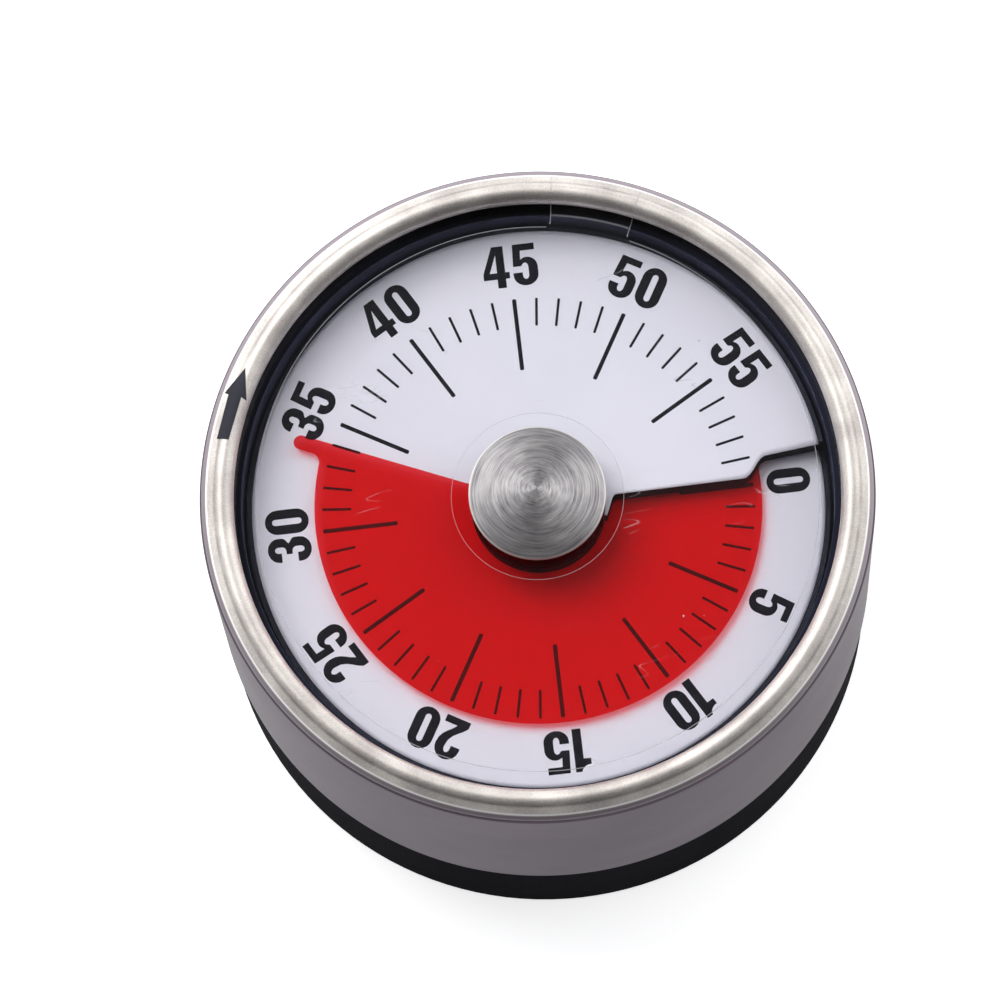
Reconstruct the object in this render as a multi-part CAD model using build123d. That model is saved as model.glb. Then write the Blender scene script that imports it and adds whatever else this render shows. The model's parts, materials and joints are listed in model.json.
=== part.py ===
"""Wind-up kitchen timer with a rotating steel case and a red film that shows the time left.

Millimetres. +Z runs up the axis of the timer, and the origin is at the centre of its
bottom face. The zero mark of the dial points along +X and minutes count clockwise.
The black base, the movement and the slit dial stand still. The steel shell, the lens,
the knob, the red film and the main arbor turn as one to wind the timer.
"""
from build123d import *
import math
import os

# --- Steel shell ------------------------------------------------------------------
SHELL_R = 30.0            # outside radius of the steel wall, which sets the whole case
SHELL_T = 0.6             # sheet thickness
SHELL_GAP = 0.3           # running gap above the base
SHELL_H = 22.5            # lower edge to the crisp outer edge of the bezel
SHOULDER_W = 0.6          # rounded step between wall and bezel, across
SHOULDER_H = 0.75         # the same step, up
BEZEL_W = 2.28            # crisp edge to inner edge, across
BAND_W = 0.75             # outer band of the bezel, across
BAND_RISE = 0.3           # outer band of the bezel, up
CROWN_RISE = 0.55         # top of the crown above the crisp edge
CROWN_SHARE = 0.62        # where the crown tops out, from inner edge to band
BEZEL_DROP = 1.05         # inner edge below the crisp edge
BEZEL_LIP = 0.1           # slant of the raw edge at the lens
CROWN_DEPTH = 0.96        # underside of the crown below its top
NECK_DEPTH = 0.3          # inner corner of the shoulder below the outer one

# --- Black base -------------------------------------------------------------------
BASE_STEP = 0.25          # face of the base inside the face of the shell
BASE_H = 12.0             # height of the black base
BASE_WALL = 1.6           # wall of the base skirt
FLOOR_T = 1.8             # floor of the base
BASE_CHAMFER = 0.5        # chamfer round the bottom rim
TUBE_WALL = 1.6           # wall of the movement tube
TUBE_FIT = 0.1            # clearance of the tube in the base skirt

# --- Magnet under the base --------------------------------------------------------
MAGNET_STEP = 4.1         # magnet inside the bell
MAGNET_HOLE_R = 4.0
MAGNET_T = 3.0
MAGNET_INSET = 0.2        # face of the magnet above the bottom rim
MAGNET_FIT = 0.1          # clearance round the magnet
POCKET_WALL = 1.6         # plastic round and above the magnet

# --- Lens, liner and protective film ----------------------------------------------
LENS_T = 1.2
LENS_LAP = 0.5            # lens rim under the bezel, across
LINER_INSET = 3.0         # bore of the black liner inside the bore of the shell
LINER_WALL = 1.2
LINER_SKIRT = 0.9         # liner below the lowest edge of the dial
LINER_FLANGE_T = 1.6      # flange that reaches out to the steel
LINER_FIT = 0.03          # liner to steel, across
RUN_GAP = 0.3             # gap between turning and fixed parts
PEEL_INSET = 2.02         # protective film inside the bezel
PEEL_HOLE_R = 7.65
PEEL_T = 0.06
PEEL_TAB_START = 65.0     # pull tab, from this angle
PEEL_TAB_SPAN = 16.0
PEEL_TAB_ROOT = 0.4       # start of the tab inside the edge of the film
PEEL_LIFT = 0.03          # pull tab above the lens and the steel
PEEL_RISE_GAP = 0.7       # the tab leaves the lens this far inside the bezel
PEEL_TOUCH_ANGLE = 158.0  # where it meets the crown, about the crown's own centre
PEEL_TOP_ANGLE = 110.0    # a point further along the crown

# --- Dial and time film -----------------------------------------------------------
SHEET_PITCH = 2.0         # rise of the dial over one turn
DIAL_DEPTH = 2.75         # middle height of the dial below the lens
DIAL_EDGE_GAP = 0.3       # rim of the dial inside the liner
DIAL_HOLE_GAP = 0.3       # dial hole round the stem
DIAL_T = 0.08
NUMERAL_BAND = 5.8        # rim of the dial outside the film
FILM_T = 0.05
FILM_SPAN = 345.0         # degrees covered by the film
FILM_SEAT = 1.4           # depth of the film in the stem's groove
FILM_GROOVE_FIT = 0.02    # clearance above and below the film there
WIND_RANGE = 330.0        # degrees from 0 to 55 minutes
MINUTE = 6.0              # degrees of one minute
READING = 34.0            # minutes shown at rest
TAB_REACH = 2.4           # tip of the film's pointer outside the film
TAB_W = 1.3
TAB_FILLET = 0.9
SLIT_IN_ANGLE = 0.4       # slit ahead of the zero mark, inner stretch
SLIT_OUT_ANGLE = 5.6      # the same, outer stretch, clear of the numeral
SLIT_SWING_IN = 1.8       # the slit swings from here inside the film's rim
SLIT_SWING_OUT = 0.4      # to here outside it
TRIM_ANGLE = 4.0          # sheet beyond each end of a cut, before it is trimmed
TRIM_REACH = 8.0          # cutting solids beyond the rim of the dial
TRIM_FAN = 20.0           # width of the trimming wedge, in degrees
TRIM_HEIGHT = 1.0         # cutting solids above and below the dial

# --- Dial carrier -----------------------------------------------------------------
CARRIER_T = 1.4
CARRIER_RIB_W = 2.7       # helical rib under the rim of the dial
CARRIER_RIB_SPAN = 359.5
CARRIER_RIB_ROOT = 0.5    # rib sunk into the plate
CARRIER_FIT = 0.05
TUBE_LEDGE = 0.8          # width of the ledge that holds the carrier

# --- Knob -------------------------------------------------------------------------
STEM_R = 5.7
SPIGOT_R = 4.4            # stem where it passes the lens
SPIGOT_FIT = 0.05
KNOB_R = 6.1
KNOB_DOME = 1.65          # dome above the rim
KNOB_RIM_H = 0.4
KNOB_CHAMFER = 0.12
WASHER_T = 0.8
SPIGOT_TOP_H = 1.1        # spigot above the washer
HUB_WEB = 1.5             # plastic under the head of the hub screw
HUB_SCREW_FIT = 0.3       # clearance round its head

# --- Movement frame ---------------------------------------------------------------
PLATE_INSET = 3.05        # rim of the plates inside the bore of the tube
PLATE_T = 1.0
PLATE_GAP = 9.0           # between the two plates
HEAD_ROOM = 2.2           # between the front plate and the dial carrier
PILLAR_INSET = 2.4        # pillars inside the rim of the plates
PILLAR_ANGLES = (85, 155, 285, 330)
PILLAR_R = 1.8
SPIGOT_PIN_R = 1.2        # end of a pillar, through a plate
POST_R = 2.6
SCREW_R = 0.85
SCREW_HOLE_R = 0.9
SCREW_HEAD_R = 1.9
SCREW_HEAD_H = 1.0
SCREW_BITE = 3.0          # length of screw in a pillar
SCREW_RUNOUT = 1.0        # hole beyond the end of a screw
COUNTERBORE_R = 2.1
COUNTERBORE_H = 1.4
SEAT_FIT = 0.02           # clearance of a fixed fit
BEARING_FIT = 0.05        # running clearance of a shaft
END_SHAKE = 0.3           # play of an arbor between the plates

# --- Arbors and wheels, whose radii and spacings are counted in main modules -------
PLATE_MODULES = 58.5      # radius of the plates
FINE_SHARE = 0.875        # module of the fine wheels
MAIN_TEETH = 60
SECOND_TEETH = 50
THIRD_TEETH = 45
PINION_TEETH = 10
ESCAPE_TEETH = 15
ESCAPE_MODULES = 11.25    # tip radius of the escape wheel
ESCAPE_ROOT_MODULES = 8.5
TOOTH_START, TOOTH_END = 0.15, 0.25   # tip of an escape tooth, in shares of its pitch
BALANCE_MODULES = 13.75   # radius of the balance wheel
BALANCE_AWAY_MODULES = 20.0
PALLET_MODULES = 6.625    # reach of the pallets
PALLET_SPREAD = 48.0      # each pallet away from the line of centres, in degrees
CAM_MODULES = 11.0
CAM_NOTCH_MODULES = 8.5
CAM_NOTCH_FROM, CAM_NOTCH_TO = -4.0, 40.0
CAM_NOTCH_REACH = 1.2     # cutter beyond the rim of the cam, as a share of its radius
MAIN_HOLES = (18.5, 5, 6.5)           # circle, count and radius
PLATE_WINDOWS = ((37.5, 115, 8.5), (35.0, 65, 6.5), (46.25, 182, 5.5), (43.75, 5, 7.5))
WHEEL_HOLES = (0.58, 4, 0.24)         # circle, count and radius, in shares of the wheel
PRESSURE_ANGLE = 25.0
ADDENDUM = 0.75           # in modules
DEDENDUM = 1.05           # in modules
BACKLASH = 0.12           # thinning of each tooth, in modules
SECOND_DIR = 200.0        # direction from the main arbor to the second
THIRD_DIR = 300.0         # from the second to the third
ESCAPE_DIR = 0.0          # from the third to the escape arbor
BALANCE_DIR = 15.0        # from the escape arbor to the balance staff
ARBOR_R = 1.5             # main arbor
ARBOR_HUB_R = 2.2         # its hub inside the mainspring
ARBOR_HUB_H = 4.3
ARBOR_TOP_GAP = 0.7       # top of the main arbor below the lens
PIVOT_R = 0.6
STAFF_R = 0.9             # the thinner arbors
WHEEL_T = 0.8
MAIN_WHEEL_T = 1.0
WHEEL_BOSS_R = 3.2
WHEEL_BOSS_H = 1.2        # boss between the cam and the main wheel
PINION_OVER = 0.4         # pinion above the wheel that drives it
STAGE_STEP = 2.0          # each fine wheel below the one before
ESCAPE_STEP = 1.8
ESCAPE_T = 0.6
BALANCE_RIM = 0.8
BALANCE_SPOKE_W = 1.2
BALANCE_DROP = 0.4        # balance wheel below the second wheel
PALLET_HUB_R = 1.8
PALLET_ARM_W = 0.9
PALLET_H = 1.2
CAM_T = 1.2

# --- Mainspring -------------------------------------------------------------------
SPRING_T = 0.35
SPRING_H = 3.6
SPRING_MODULES = 18.0     # radius of the outer coil, in main modules
SPRING_TURNS = 5
SPRING_POST_R = 0.8
SPRING_POST_GAP = 0.2     # post below the top of the hub
SPRING_POST_DIR = 60.0

# --- Bell and hammer --------------------------------------------------------------
BELL_CLEAR = 1.8          # bell inside the four posts
BELL_T = 0.6
BELL_LOW = 4.0            # rim of the bell above the table
BELL_SHOULDER = 2.5
BELL_TOP_GAP = 1.8        # top of the bell below the back plate
BELL_POST_R = 2.5
HAMMER_DIR = 38.0         # direction of the hammer arbor
HAMMER_GAP = 3.7          # its axis outside the bell
HAMMER_ARBOR_R = 1.0
HAMMER_SLEEVE_R = 1.5     # the arbor between the plates
HAMMER_STUB = 0.4         # arbor below the hammer
HAMMER_REACH = 5.0        # arbor to the middle of the head
HAMMER_HEAD_R = 1.3
HAMMER_HEAD_H = 3.0
HAMMER_RAISE = 0.6        # hammer above the rim of the bell
HAMMER_REST_GAP = 0.8     # head to bell at rest
HAMMER_EYE_R = 2.0
LEVER_EYE_R = 2.4
LEVER_W = 1.6
LEVER_T = 1.0
TRIP_GAP = 0.4            # trip lever to cam

# --- Heights and radii that follow from the sizes above ---------------------------
BASE_R = SHELL_R - BASE_STEP
SHELL_Z = BASE_H + SHELL_GAP
EDGE_Z = SHELL_Z + SHELL_H
EDGE_R = SHELL_R - SHOULDER_W
BEZEL_R = EDGE_R - BEZEL_W
BEZEL_Z = EDGE_Z - BEZEL_DROP
LENS_TOP = BEZEL_Z - SHELL_T
LENS_Z = LENS_TOP - LENS_T
LENS_R = BEZEL_R + LENS_LAP
PEEL_R = BEZEL_R - PEEL_INSET
SHELL_BORE_R = SHELL_R - SHELL_T
LINER_BORE_R = SHELL_BORE_R - LINER_INSET
DIAL_R = LINER_BORE_R - DIAL_EDGE_GAP
FILM_R = DIAL_R - NUMERAL_BAND
TAB_R = FILM_R + TAB_REACH
SKIRT_BORE_R = BASE_R - BASE_WALL
TUBE_R = SKIRT_BORE_R - TUBE_FIT
TUBE_BORE_R = TUBE_R - TUBE_WALL
PLATE_R = TUBE_BORE_R - PLATE_INSET
PILLAR_CIRCLE_R = PLATE_R - PILLAR_INSET
BELL_R = PILLAR_CIRCLE_R - POST_R - BELL_CLEAR
MAIN_MODULE = PLATE_R / PLATE_MODULES
FINE_MODULE = MAIN_MODULE * FINE_SHARE
CAM_R = CAM_MODULES * MAIN_MODULE
SPRING_R = SPRING_MODULES * MAIN_MODULE
DIAL_MEAN_Z = LENS_Z - DIAL_DEPTH
DIAL_Z = DIAL_MEAN_Z - SHEET_PITCH / 2
SHEET_STEP = SHEET_PITCH * (1 - WIND_RANGE / 360) / 2
FILM_LEAD_Z = DIAL_Z + SHEET_PITCH * WIND_RANGE / 360 + SHEET_STEP
FILM_START = READING * MINUTE - FILM_SPAN
FILM_START_Z = FILM_LEAD_Z - SHEET_PITCH * FILM_SPAN / 360
LINER_Z = DIAL_Z - LINER_SKIRT
TUBE_TOP = LINER_Z - RUN_GAP
CARRIER_Z = TUBE_TOP - CARRIER_T
STEM_Z = TUBE_TOP + RUN_GAP
MAGNET_R = BELL_R - MAGNET_STEP
POCKET_DEPTH = MAGNET_T + MAGNET_INSET
POCKET_TOP = POCKET_DEPTH + POCKET_WALL
FRONT_TOP = CARRIER_Z - HEAD_ROOM
FRONT_Z = FRONT_TOP - PLATE_T
BACK_TOP = FRONT_Z - PLATE_GAP
PLATE_Z = BACK_TOP - PLATE_T
HUB_Z = BACK_TOP + END_SHAKE
CAM_Z = HUB_Z + ARBOR_HUB_H
MAIN_Z = CAM_Z + CAM_T + WHEEL_BOSS_H
SECOND_Z = MAIN_Z - STAGE_STEP
THIRD_Z = SECOND_Z - STAGE_STEP
ESCAPE_Z = THIRD_Z - ESCAPE_STEP
BELL_TOP = PLATE_Z - BELL_TOP_GAP
HAMMER_LOW = BELL_LOW + HAMMER_RAISE
ARBOR_TOP = LENS_Z - ARBOR_TOP_GAP
WASHER_TOP = LENS_TOP + WASHER_T
SCREW_SEAT_Z = ARBOR_TOP + HUB_WEB


def polar(radius, angle):
    """Point at a radius and an angle in degrees, anticlockwise from +X."""
    return (radius * math.cos(math.radians(angle)), radius * math.sin(math.radians(angle)))


def step_from(point, distance, angle):
    dx, dy = polar(distance, angle)
    return (point[0] + dx, point[1] + dy)


def turned(*points):
    """Solid of revolution about Z from (radius, height) points."""
    return revolve(Plane.XZ * make_face(Polyline(*points, close=True)), Axis.Z)


def rod(radius, low, high, at=(0, 0)):
    return Pos(at[0], at[1], low) * extrude(Circle(radius), high - low)


def ring(outer, inner, low, high, at=(0, 0)):
    return Pos(at[0], at[1], low) * extrude(Circle(outer) - Circle(inner), high - low)


def helical_slab(inner, outer, start, span, low, thickness):
    """Sheet that climbs clockwise from angle start, with its mid height at low there."""
    middle = (inner + outer) / 2
    path = Helix(SHEET_PITCH, SHEET_PITCH * span / 360, middle, lefthand=True)
    section = Plane.XZ * Pos(middle, 0) * Rectangle(outer - inner, thickness)
    return Pos(0, 0, low) * Rot(0, 0, -start) * sweep(section, path, is_frenet=True)


# --- Where the arbors stand -------------------------------------------------------
MAIN_DISTANCE = MAIN_MODULE * (MAIN_TEETH + PINION_TEETH) / 2
SECOND_DISTANCE = FINE_MODULE * (SECOND_TEETH + PINION_TEETH) / 2
THIRD_DISTANCE = FINE_MODULE * (THIRD_TEETH + PINION_TEETH) / 2
MAIN_AT = (0.0, 0.0)
SECOND_AT = step_from(MAIN_AT, MAIN_DISTANCE, SECOND_DIR)
THIRD_AT = step_from(SECOND_AT, SECOND_DISTANCE, THIRD_DIR)
ESCAPE_AT = step_from(THIRD_AT, THIRD_DISTANCE, ESCAPE_DIR)
BALANCE_AT = step_from(ESCAPE_AT, BALANCE_AWAY_MODULES * MAIN_MODULE, BALANCE_DIR)
HAMMER_AT = polar(BELL_R + HAMMER_GAP, HAMMER_DIR)
SPRING_POST_AT = polar(SPRING_R + SPRING_T / 2 + SPRING_POST_R + SEAT_FIT, SPRING_POST_DIR)
PILLARS_AT = [polar(PILLAR_CIRCLE_R, angle) for angle in PILLAR_ANGLES]
FINE_ARBORS_AT = [SECOND_AT, THIRD_AT, ESCAPE_AT, BALANCE_AT]


# --- Base -------------------------------------------------------------------------
def base_cover():
    """Floor, skirt, magnet pocket, bell post and four posts for the movement."""
    pocket_r = MAGNET_R + MAGNET_FIT
    body = turned(
        (pocket_r, 0), (BASE_R - BASE_CHAMFER, 0), (BASE_R, BASE_CHAMFER), (BASE_R, BASE_H),
        (SKIRT_BORE_R, BASE_H), (SKIRT_BORE_R, FLOOR_T), (pocket_r + POCKET_WALL, FLOOR_T),
        (pocket_r + POCKET_WALL, POCKET_TOP), (BELL_POST_R, POCKET_TOP),
        (BELL_POST_R, BELL_TOP - BELL_T), (0, BELL_TOP - BELL_T), (0, POCKET_DEPTH),
        (pocket_r, POCKET_DEPTH))
    for spot in PILLARS_AT:
        body += rod(POST_R, FLOOR_T, PLATE_Z, spot)
    for spot in PILLARS_AT:
        body -= rod(SCREW_HOLE_R + BEARING_FIT, 0, PLATE_Z, spot)
        body -= rod(COUNTERBORE_R, 0, COUNTERBORE_H, spot)
    return body - rod(SCREW_HOLE_R, POCKET_TOP, BELL_TOP, MAIN_AT)


def movement_tube():
    """Inner wall of the case, with a ledge that holds the dial carrier."""
    ledge_r = TUBE_BORE_R + TUBE_LEDGE
    return turned(
        (TUBE_BORE_R, FLOOR_T), (TUBE_R, FLOOR_T), (TUBE_R, TUBE_TOP), (ledge_r, TUBE_TOP),
        (ledge_r, CARRIER_Z), (TUBE_BORE_R, CARRIER_Z))


def ring_magnet():
    return ring(MAGNET_R, MAGNET_HOLE_R, MAGNET_INSET, POCKET_DEPTH)


# --- Bell and hammer --------------------------------------------------------------
def bell():
    """Drawn steel cup on the bell post, open downwards."""
    low = BELL_LOW
    outer = [(BELL_R, low), (BELL_R, BELL_TOP - BELL_SHOULDER)]
    crown = (BELL_R - BELL_SHOULDER, BELL_TOP)
    bend = BELL_SHOULDER * (1 - math.sqrt(0.5))
    inside = BELL_SHOULDER - BELL_T
    wall = [
        Line(*outer),
        ThreePointArc(outer[1], (BELL_R - bend, BELL_TOP - bend), crown),
        Line(crown, (SCREW_R + BEARING_FIT, BELL_TOP)),
        Line((SCREW_R + BEARING_FIT, BELL_TOP), (SCREW_R + BEARING_FIT, BELL_TOP - BELL_T)),
        Line((SCREW_R + BEARING_FIT, BELL_TOP - BELL_T), (crown[0], BELL_TOP - BELL_T)),
        ThreePointArc(
            (crown[0], BELL_TOP - BELL_T),
            (crown[0] + inside * math.sqrt(0.5), BELL_TOP - BELL_SHOULDER + inside * math.sqrt(0.5)),
            (BELL_R - BELL_T, BELL_TOP - BELL_SHOULDER)),
        Line((BELL_R - BELL_T, BELL_TOP - BELL_SHOULDER), (BELL_R - BELL_T, low)),
        Line((BELL_R - BELL_T, low), outer[0])]
    return revolve(Plane.XZ * make_face(wall), Axis.Z)


def bell_screw():
    head = rod(BELL_POST_R, BELL_TOP, BELL_TOP + SCREW_HEAD_H)
    return head + rod(SCREW_R, POCKET_TOP + POCKET_WALL, BELL_TOP)


HEAD_DISTANCE = BELL_R + HAMMER_REST_GAP + HAMMER_HEAD_R
HEAD_TURN = math.degrees(math.acos(
    (HEAD_DISTANCE ** 2 + (BELL_R + HAMMER_GAP) ** 2 - HAMMER_REACH ** 2)
    / (2 * HEAD_DISTANCE * (BELL_R + HAMMER_GAP))))
HEAD_AT = polar(HEAD_DISTANCE, HAMMER_DIR - HEAD_TURN)


def bar(start, end, width, low, height):
    """Flat bar from one point to another."""
    length = math.dist(start, end)
    angle = math.degrees(math.atan2(end[1] - start[1], end[0] - start[0]))
    middle = ((start[0] + end[0]) / 2, (start[1] + end[1]) / 2)
    return Pos(middle[0], middle[1], low) * Rot(0, 0, angle) * extrude(Rectangle(length, width), height)


def hammer():
    """Head and arm that strike the bell from outside."""
    body = rod(HAMMER_EYE_R, HAMMER_LOW, HAMMER_LOW + HAMMER_HEAD_H, HAMMER_AT)
    body += bar(HAMMER_AT, HEAD_AT, LEVER_W, HAMMER_LOW, HAMMER_HEAD_H / 2)
    body += rod(HAMMER_HEAD_R, HAMMER_LOW, HAMMER_LOW + HAMMER_HEAD_H, HEAD_AT)
    return body - rod(HAMMER_ARBOR_R, HAMMER_LOW, HAMMER_LOW + HAMMER_HEAD_H, HAMMER_AT)


def hammer_arbor():
    body = rod(HAMMER_ARBOR_R, HAMMER_LOW - HAMMER_STUB, FRONT_TOP, HAMMER_AT)
    return body + rod(HAMMER_SLEEVE_R, BACK_TOP + END_SHAKE, FRONT_Z - END_SHAKE, HAMMER_AT)


def trip_lever():
    """Arm from the hammer arbor to the trip cam."""
    tip = polar(CAM_R + TRIP_GAP + LEVER_W / 2, HAMMER_DIR)
    low = CAM_Z + (CAM_T - LEVER_T) / 2
    body = rod(LEVER_EYE_R, low, low + LEVER_T, HAMMER_AT)
    body += bar(HAMMER_AT, tip, LEVER_W, low, LEVER_T)
    body += rod(LEVER_W / 2, low, low + LEVER_T, tip)
    return body - rod(HAMMER_SLEEVE_R, low, low + LEVER_T, HAMMER_AT)


# --- Movement frame ---------------------------------------------------------------
def plate(low):
    """Round movement plate with its pivot holes and four windows."""
    blank = Circle(PLATE_R) - Circle(ARBOR_R + BEARING_FIT)
    blank -= [Pos(*spot) * Circle(SPIGOT_PIN_R + SEAT_FIT) for spot in PILLARS_AT]
    blank -= [Pos(*spot) * Circle(PIVOT_R + BEARING_FIT) for spot in FINE_ARBORS_AT]
    blank -= Pos(*HAMMER_AT) * Circle(HAMMER_ARBOR_R + BEARING_FIT)
    for away, angle, size in PLATE_WINDOWS:
        blank -= Pos(*polar(away * MAIN_MODULE, angle)) * Circle(size * MAIN_MODULE)
    return Pos(0, 0, low) * extrude(blank, PLATE_T)


def pillars():
    bodies = []
    depth = SCREW_BITE + SCREW_RUNOUT
    for spot in PILLARS_AT:
        body = rod(PILLAR_R, BACK_TOP, FRONT_Z, spot) + rod(SPIGOT_PIN_R, PLATE_Z, FRONT_TOP, spot)
        body -= rod(SCREW_HOLE_R, PLATE_Z, BACK_TOP + depth, spot)
        bodies.append(body - rod(SCREW_HOLE_R, FRONT_Z - depth, FRONT_TOP, spot))
    return bodies


def pillar_screws():
    return [
        rod(SCREW_HEAD_R, FRONT_TOP, FRONT_TOP + SCREW_HEAD_H, spot)
        + rod(SCREW_R, FRONT_Z - SCREW_BITE, FRONT_TOP, spot) for spot in PILLARS_AT]


def case_screws():
    head_low = COUNTERBORE_H - SCREW_HEAD_H
    return [
        rod(SCREW_HEAD_R, head_low, COUNTERBORE_H, spot)
        + rod(SCREW_R, COUNTERBORE_H, BACK_TOP + SCREW_BITE, spot) for spot in PILLARS_AT]


def spring_post():
    return rod(SPRING_POST_R, BACK_TOP, HUB_Z + ARBOR_HUB_H - SPRING_POST_GAP, SPRING_POST_AT)


def mainspring():
    """Coiled steel strip from the hub of the main arbor to the spring post.

    Each half turn is an arc about one of two centres, so the coil grows by one step.
    """
    halves = 2 * SPRING_TURNS
    start = ARBOR_HUB_R + SPRING_T / 2 + SEAT_FIT
    growth = (SPRING_R - start) / halves

    def side(shift):
        arcs = []
        for half in range(halves):
            centre = -growth / 2 if half % 2 == 0 else growth / 2
            radius = start + growth * (half + 0.5) + shift
            facing = 1 if half % 2 == 0 else -1
            arcs.append(ThreePointArc(
                (centre + facing * radius, 0), (centre, facing * radius), (centre - facing * radius, 0)))
        return arcs

    inner = side(-SPRING_T / 2)
    outer = side(SPRING_T / 2)
    ends = [Line(inner[0] @ 0, outer[0] @ 0), Line(inner[-1] @ 1, outer[-1] @ 1)]
    low = HUB_Z + (ARBOR_HUB_H - SPRING_H) / 2
    return Pos(0, 0, low) * Rot(0, 0, SPRING_POST_DIR) * extrude(make_face(inner + outer + ends), SPRING_H)


# --- Wheels -----------------------------------------------------------------------
def gear_outline(teeth, module, phase):
    """Spur gear outline with one tooth centred on the angle phase."""
    pitch_r = module * teeth / 2
    root_r = pitch_r - DEDENDUM * module
    tip_r = pitch_r + ADDENDUM * module
    base_r = pitch_r * math.cos(math.radians(PRESSURE_ANGLE))
    involute = math.tan(math.radians(PRESSURE_ANGLE)) - math.radians(PRESSURE_ANGLE)
    half = (math.pi / 2 - BACKLASH / 2) / teeth

    def half_angle(radius):
        if radius <= base_r:
            return half + involute
        roll = math.acos(base_r / radius)
        return half + involute - (math.tan(roll) - roll)

    flank = [root_r] + ([base_r] if base_r > root_r else []) + [pitch_r, tip_r]
    points = []
    for tooth in range(teeth):
        centre = phase + 360 * tooth / teeth
        points += [polar(radius, centre - math.degrees(half_angle(radius))) for radius in flank]
        points += [polar(r, centre + math.degrees(half_angle(r))) for r in reversed(flank)]
    return make_face(Polyline(*points, close=True))


def spur_gear(teeth, module, phase, bore_r, low, thickness, at, holes=(0, 0, 0)):
    """Wheel with a bore and a circle of round holes: its radius, their count and their radius."""
    away, count, size = holes
    blank = gear_outline(teeth, module, phase) - Circle(bore_r)
    for index in range(count):
        blank -= Pos(*polar(away, phase + 360 * (index + 0.5) / count)) * Circle(size)
    return Pos(at[0], at[1], low) * extrude(blank, thickness)


def meshing_phase(direction, teeth):
    """Phase that puts a gap of a pinion opposite the tooth that points along direction."""
    return direction + 180 + 180 / teeth


def main_gear():
    away, count, size = MAIN_HOLES
    holes = (away * MAIN_MODULE, count, size * MAIN_MODULE)
    body = spur_gear(
        MAIN_TEETH, MAIN_MODULE, SECOND_DIR, ARBOR_R, MAIN_Z, MAIN_WHEEL_T, MAIN_AT, holes)
    body += ring(WHEEL_BOSS_R, ARBOR_R, CAM_Z + CAM_T, MAIN_Z)
    return body + ring(WHEEL_BOSS_R, ARBOR_R, MAIN_Z + MAIN_WHEEL_T, FRONT_Z - END_SHAKE)


def trip_cam():
    """Disc with one notch, which lets the trip lever fall at zero."""
    reach = CAM_R * CAM_NOTCH_REACH
    notch = make_face(Polyline(
        (CAM_NOTCH_MODULES * MAIN_MODULE, 0), polar(reach, CAM_NOTCH_FROM),
        polar(reach, CAM_NOTCH_TO), close=True))
    blank = Circle(CAM_R) - Circle(ARBOR_R) - Rot(0, 0, HAMMER_DIR - READING * MINUTE) * notch
    return Pos(0, 0, CAM_Z) * extrude(blank, CAM_T)


def arbor():
    """Main arbor: hub for the spring, seats for cam, gear and knob, and a screw hole."""
    body = rod(ARBOR_R, PLATE_Z, ARBOR_TOP) + rod(ARBOR_HUB_R, HUB_Z, CAM_Z)
    return body - rod(SCREW_HOLE_R, ARBOR_TOP - 2 * SCREW_BITE, ARBOR_TOP)


def fine_arbor(at):
    body = rod(PIVOT_R, PLATE_Z, FRONT_TOP, at)
    return body + rod(STAFF_R, BACK_TOP + END_SHAKE, FRONT_Z - END_SHAKE, at)


def pinion(module, direction, low, high, at):
    """Pinion between two heights, and a little over the wheel that drives it."""
    height = high + PINION_OVER - low
    phase = meshing_phase(direction, PINION_TEETH)
    return spur_gear(PINION_TEETH, module, phase, STAFF_R, low, height, at)


def fine_wheel(teeth, direction, low, at):
    pitch_r = FINE_MODULE * teeth / 2
    away, count, size = WHEEL_HOLES
    holes = (pitch_r * away, count, pitch_r * size)
    return spur_gear(teeth, FINE_MODULE, direction, STAFF_R, low, WHEEL_T, at, holes)


def escape_wheel():
    """Wheel with raked pointed teeth."""
    pitch = 360 / ESCAPE_TEETH
    points = []
    for tooth in range(ESCAPE_TEETH):
        points.append(polar(ESCAPE_ROOT_MODULES * MAIN_MODULE, tooth * pitch))
        points.append(polar(ESCAPE_MODULES * MAIN_MODULE, (tooth + TOOTH_START) * pitch))
        points.append(polar(ESCAPE_MODULES * MAIN_MODULE, (tooth + TOOTH_END) * pitch))
    blank = make_face(Polyline(*points, close=True)) - Circle(STAFF_R)
    return Pos(ESCAPE_AT[0], ESCAPE_AT[1], ESCAPE_Z) * extrude(blank, ESCAPE_T)


def balance_wheel():
    outer = BALANCE_MODULES * MAIN_MODULE
    inner = outer - BALANCE_RIM
    blank = Circle(outer) - Circle(inner)
    blank += Rectangle(2 * inner + BALANCE_RIM, BALANCE_SPOKE_W) + Circle(PALLET_HUB_R)
    low = SECOND_Z - BALANCE_DROP
    return Pos(BALANCE_AT[0], BALANCE_AT[1], low) * extrude(blank - Circle(STAFF_R), WHEEL_T)


def pallet_lever():
    """Anchor on the balance staff, with two upright pallets beside the escape wheel."""
    toward = BALANCE_DIR + 180
    body = rod(PALLET_HUB_R, ESCAPE_Z, ESCAPE_Z + ESCAPE_T, BALANCE_AT)
    for turn in (-PALLET_SPREAD, PALLET_SPREAD):
        tip = step_from(BALANCE_AT, PALLET_MODULES * MAIN_MODULE, toward + turn)
        body += bar(BALANCE_AT, tip, PALLET_ARM_W, ESCAPE_Z, ESCAPE_T)
        body += rod(PALLET_ARM_W / 2, ESCAPE_Z, ESCAPE_Z + PALLET_H, tip)
    return body - rod(STAFF_R, ESCAPE_Z, ESCAPE_Z + ESCAPE_T, BALANCE_AT)


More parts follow.
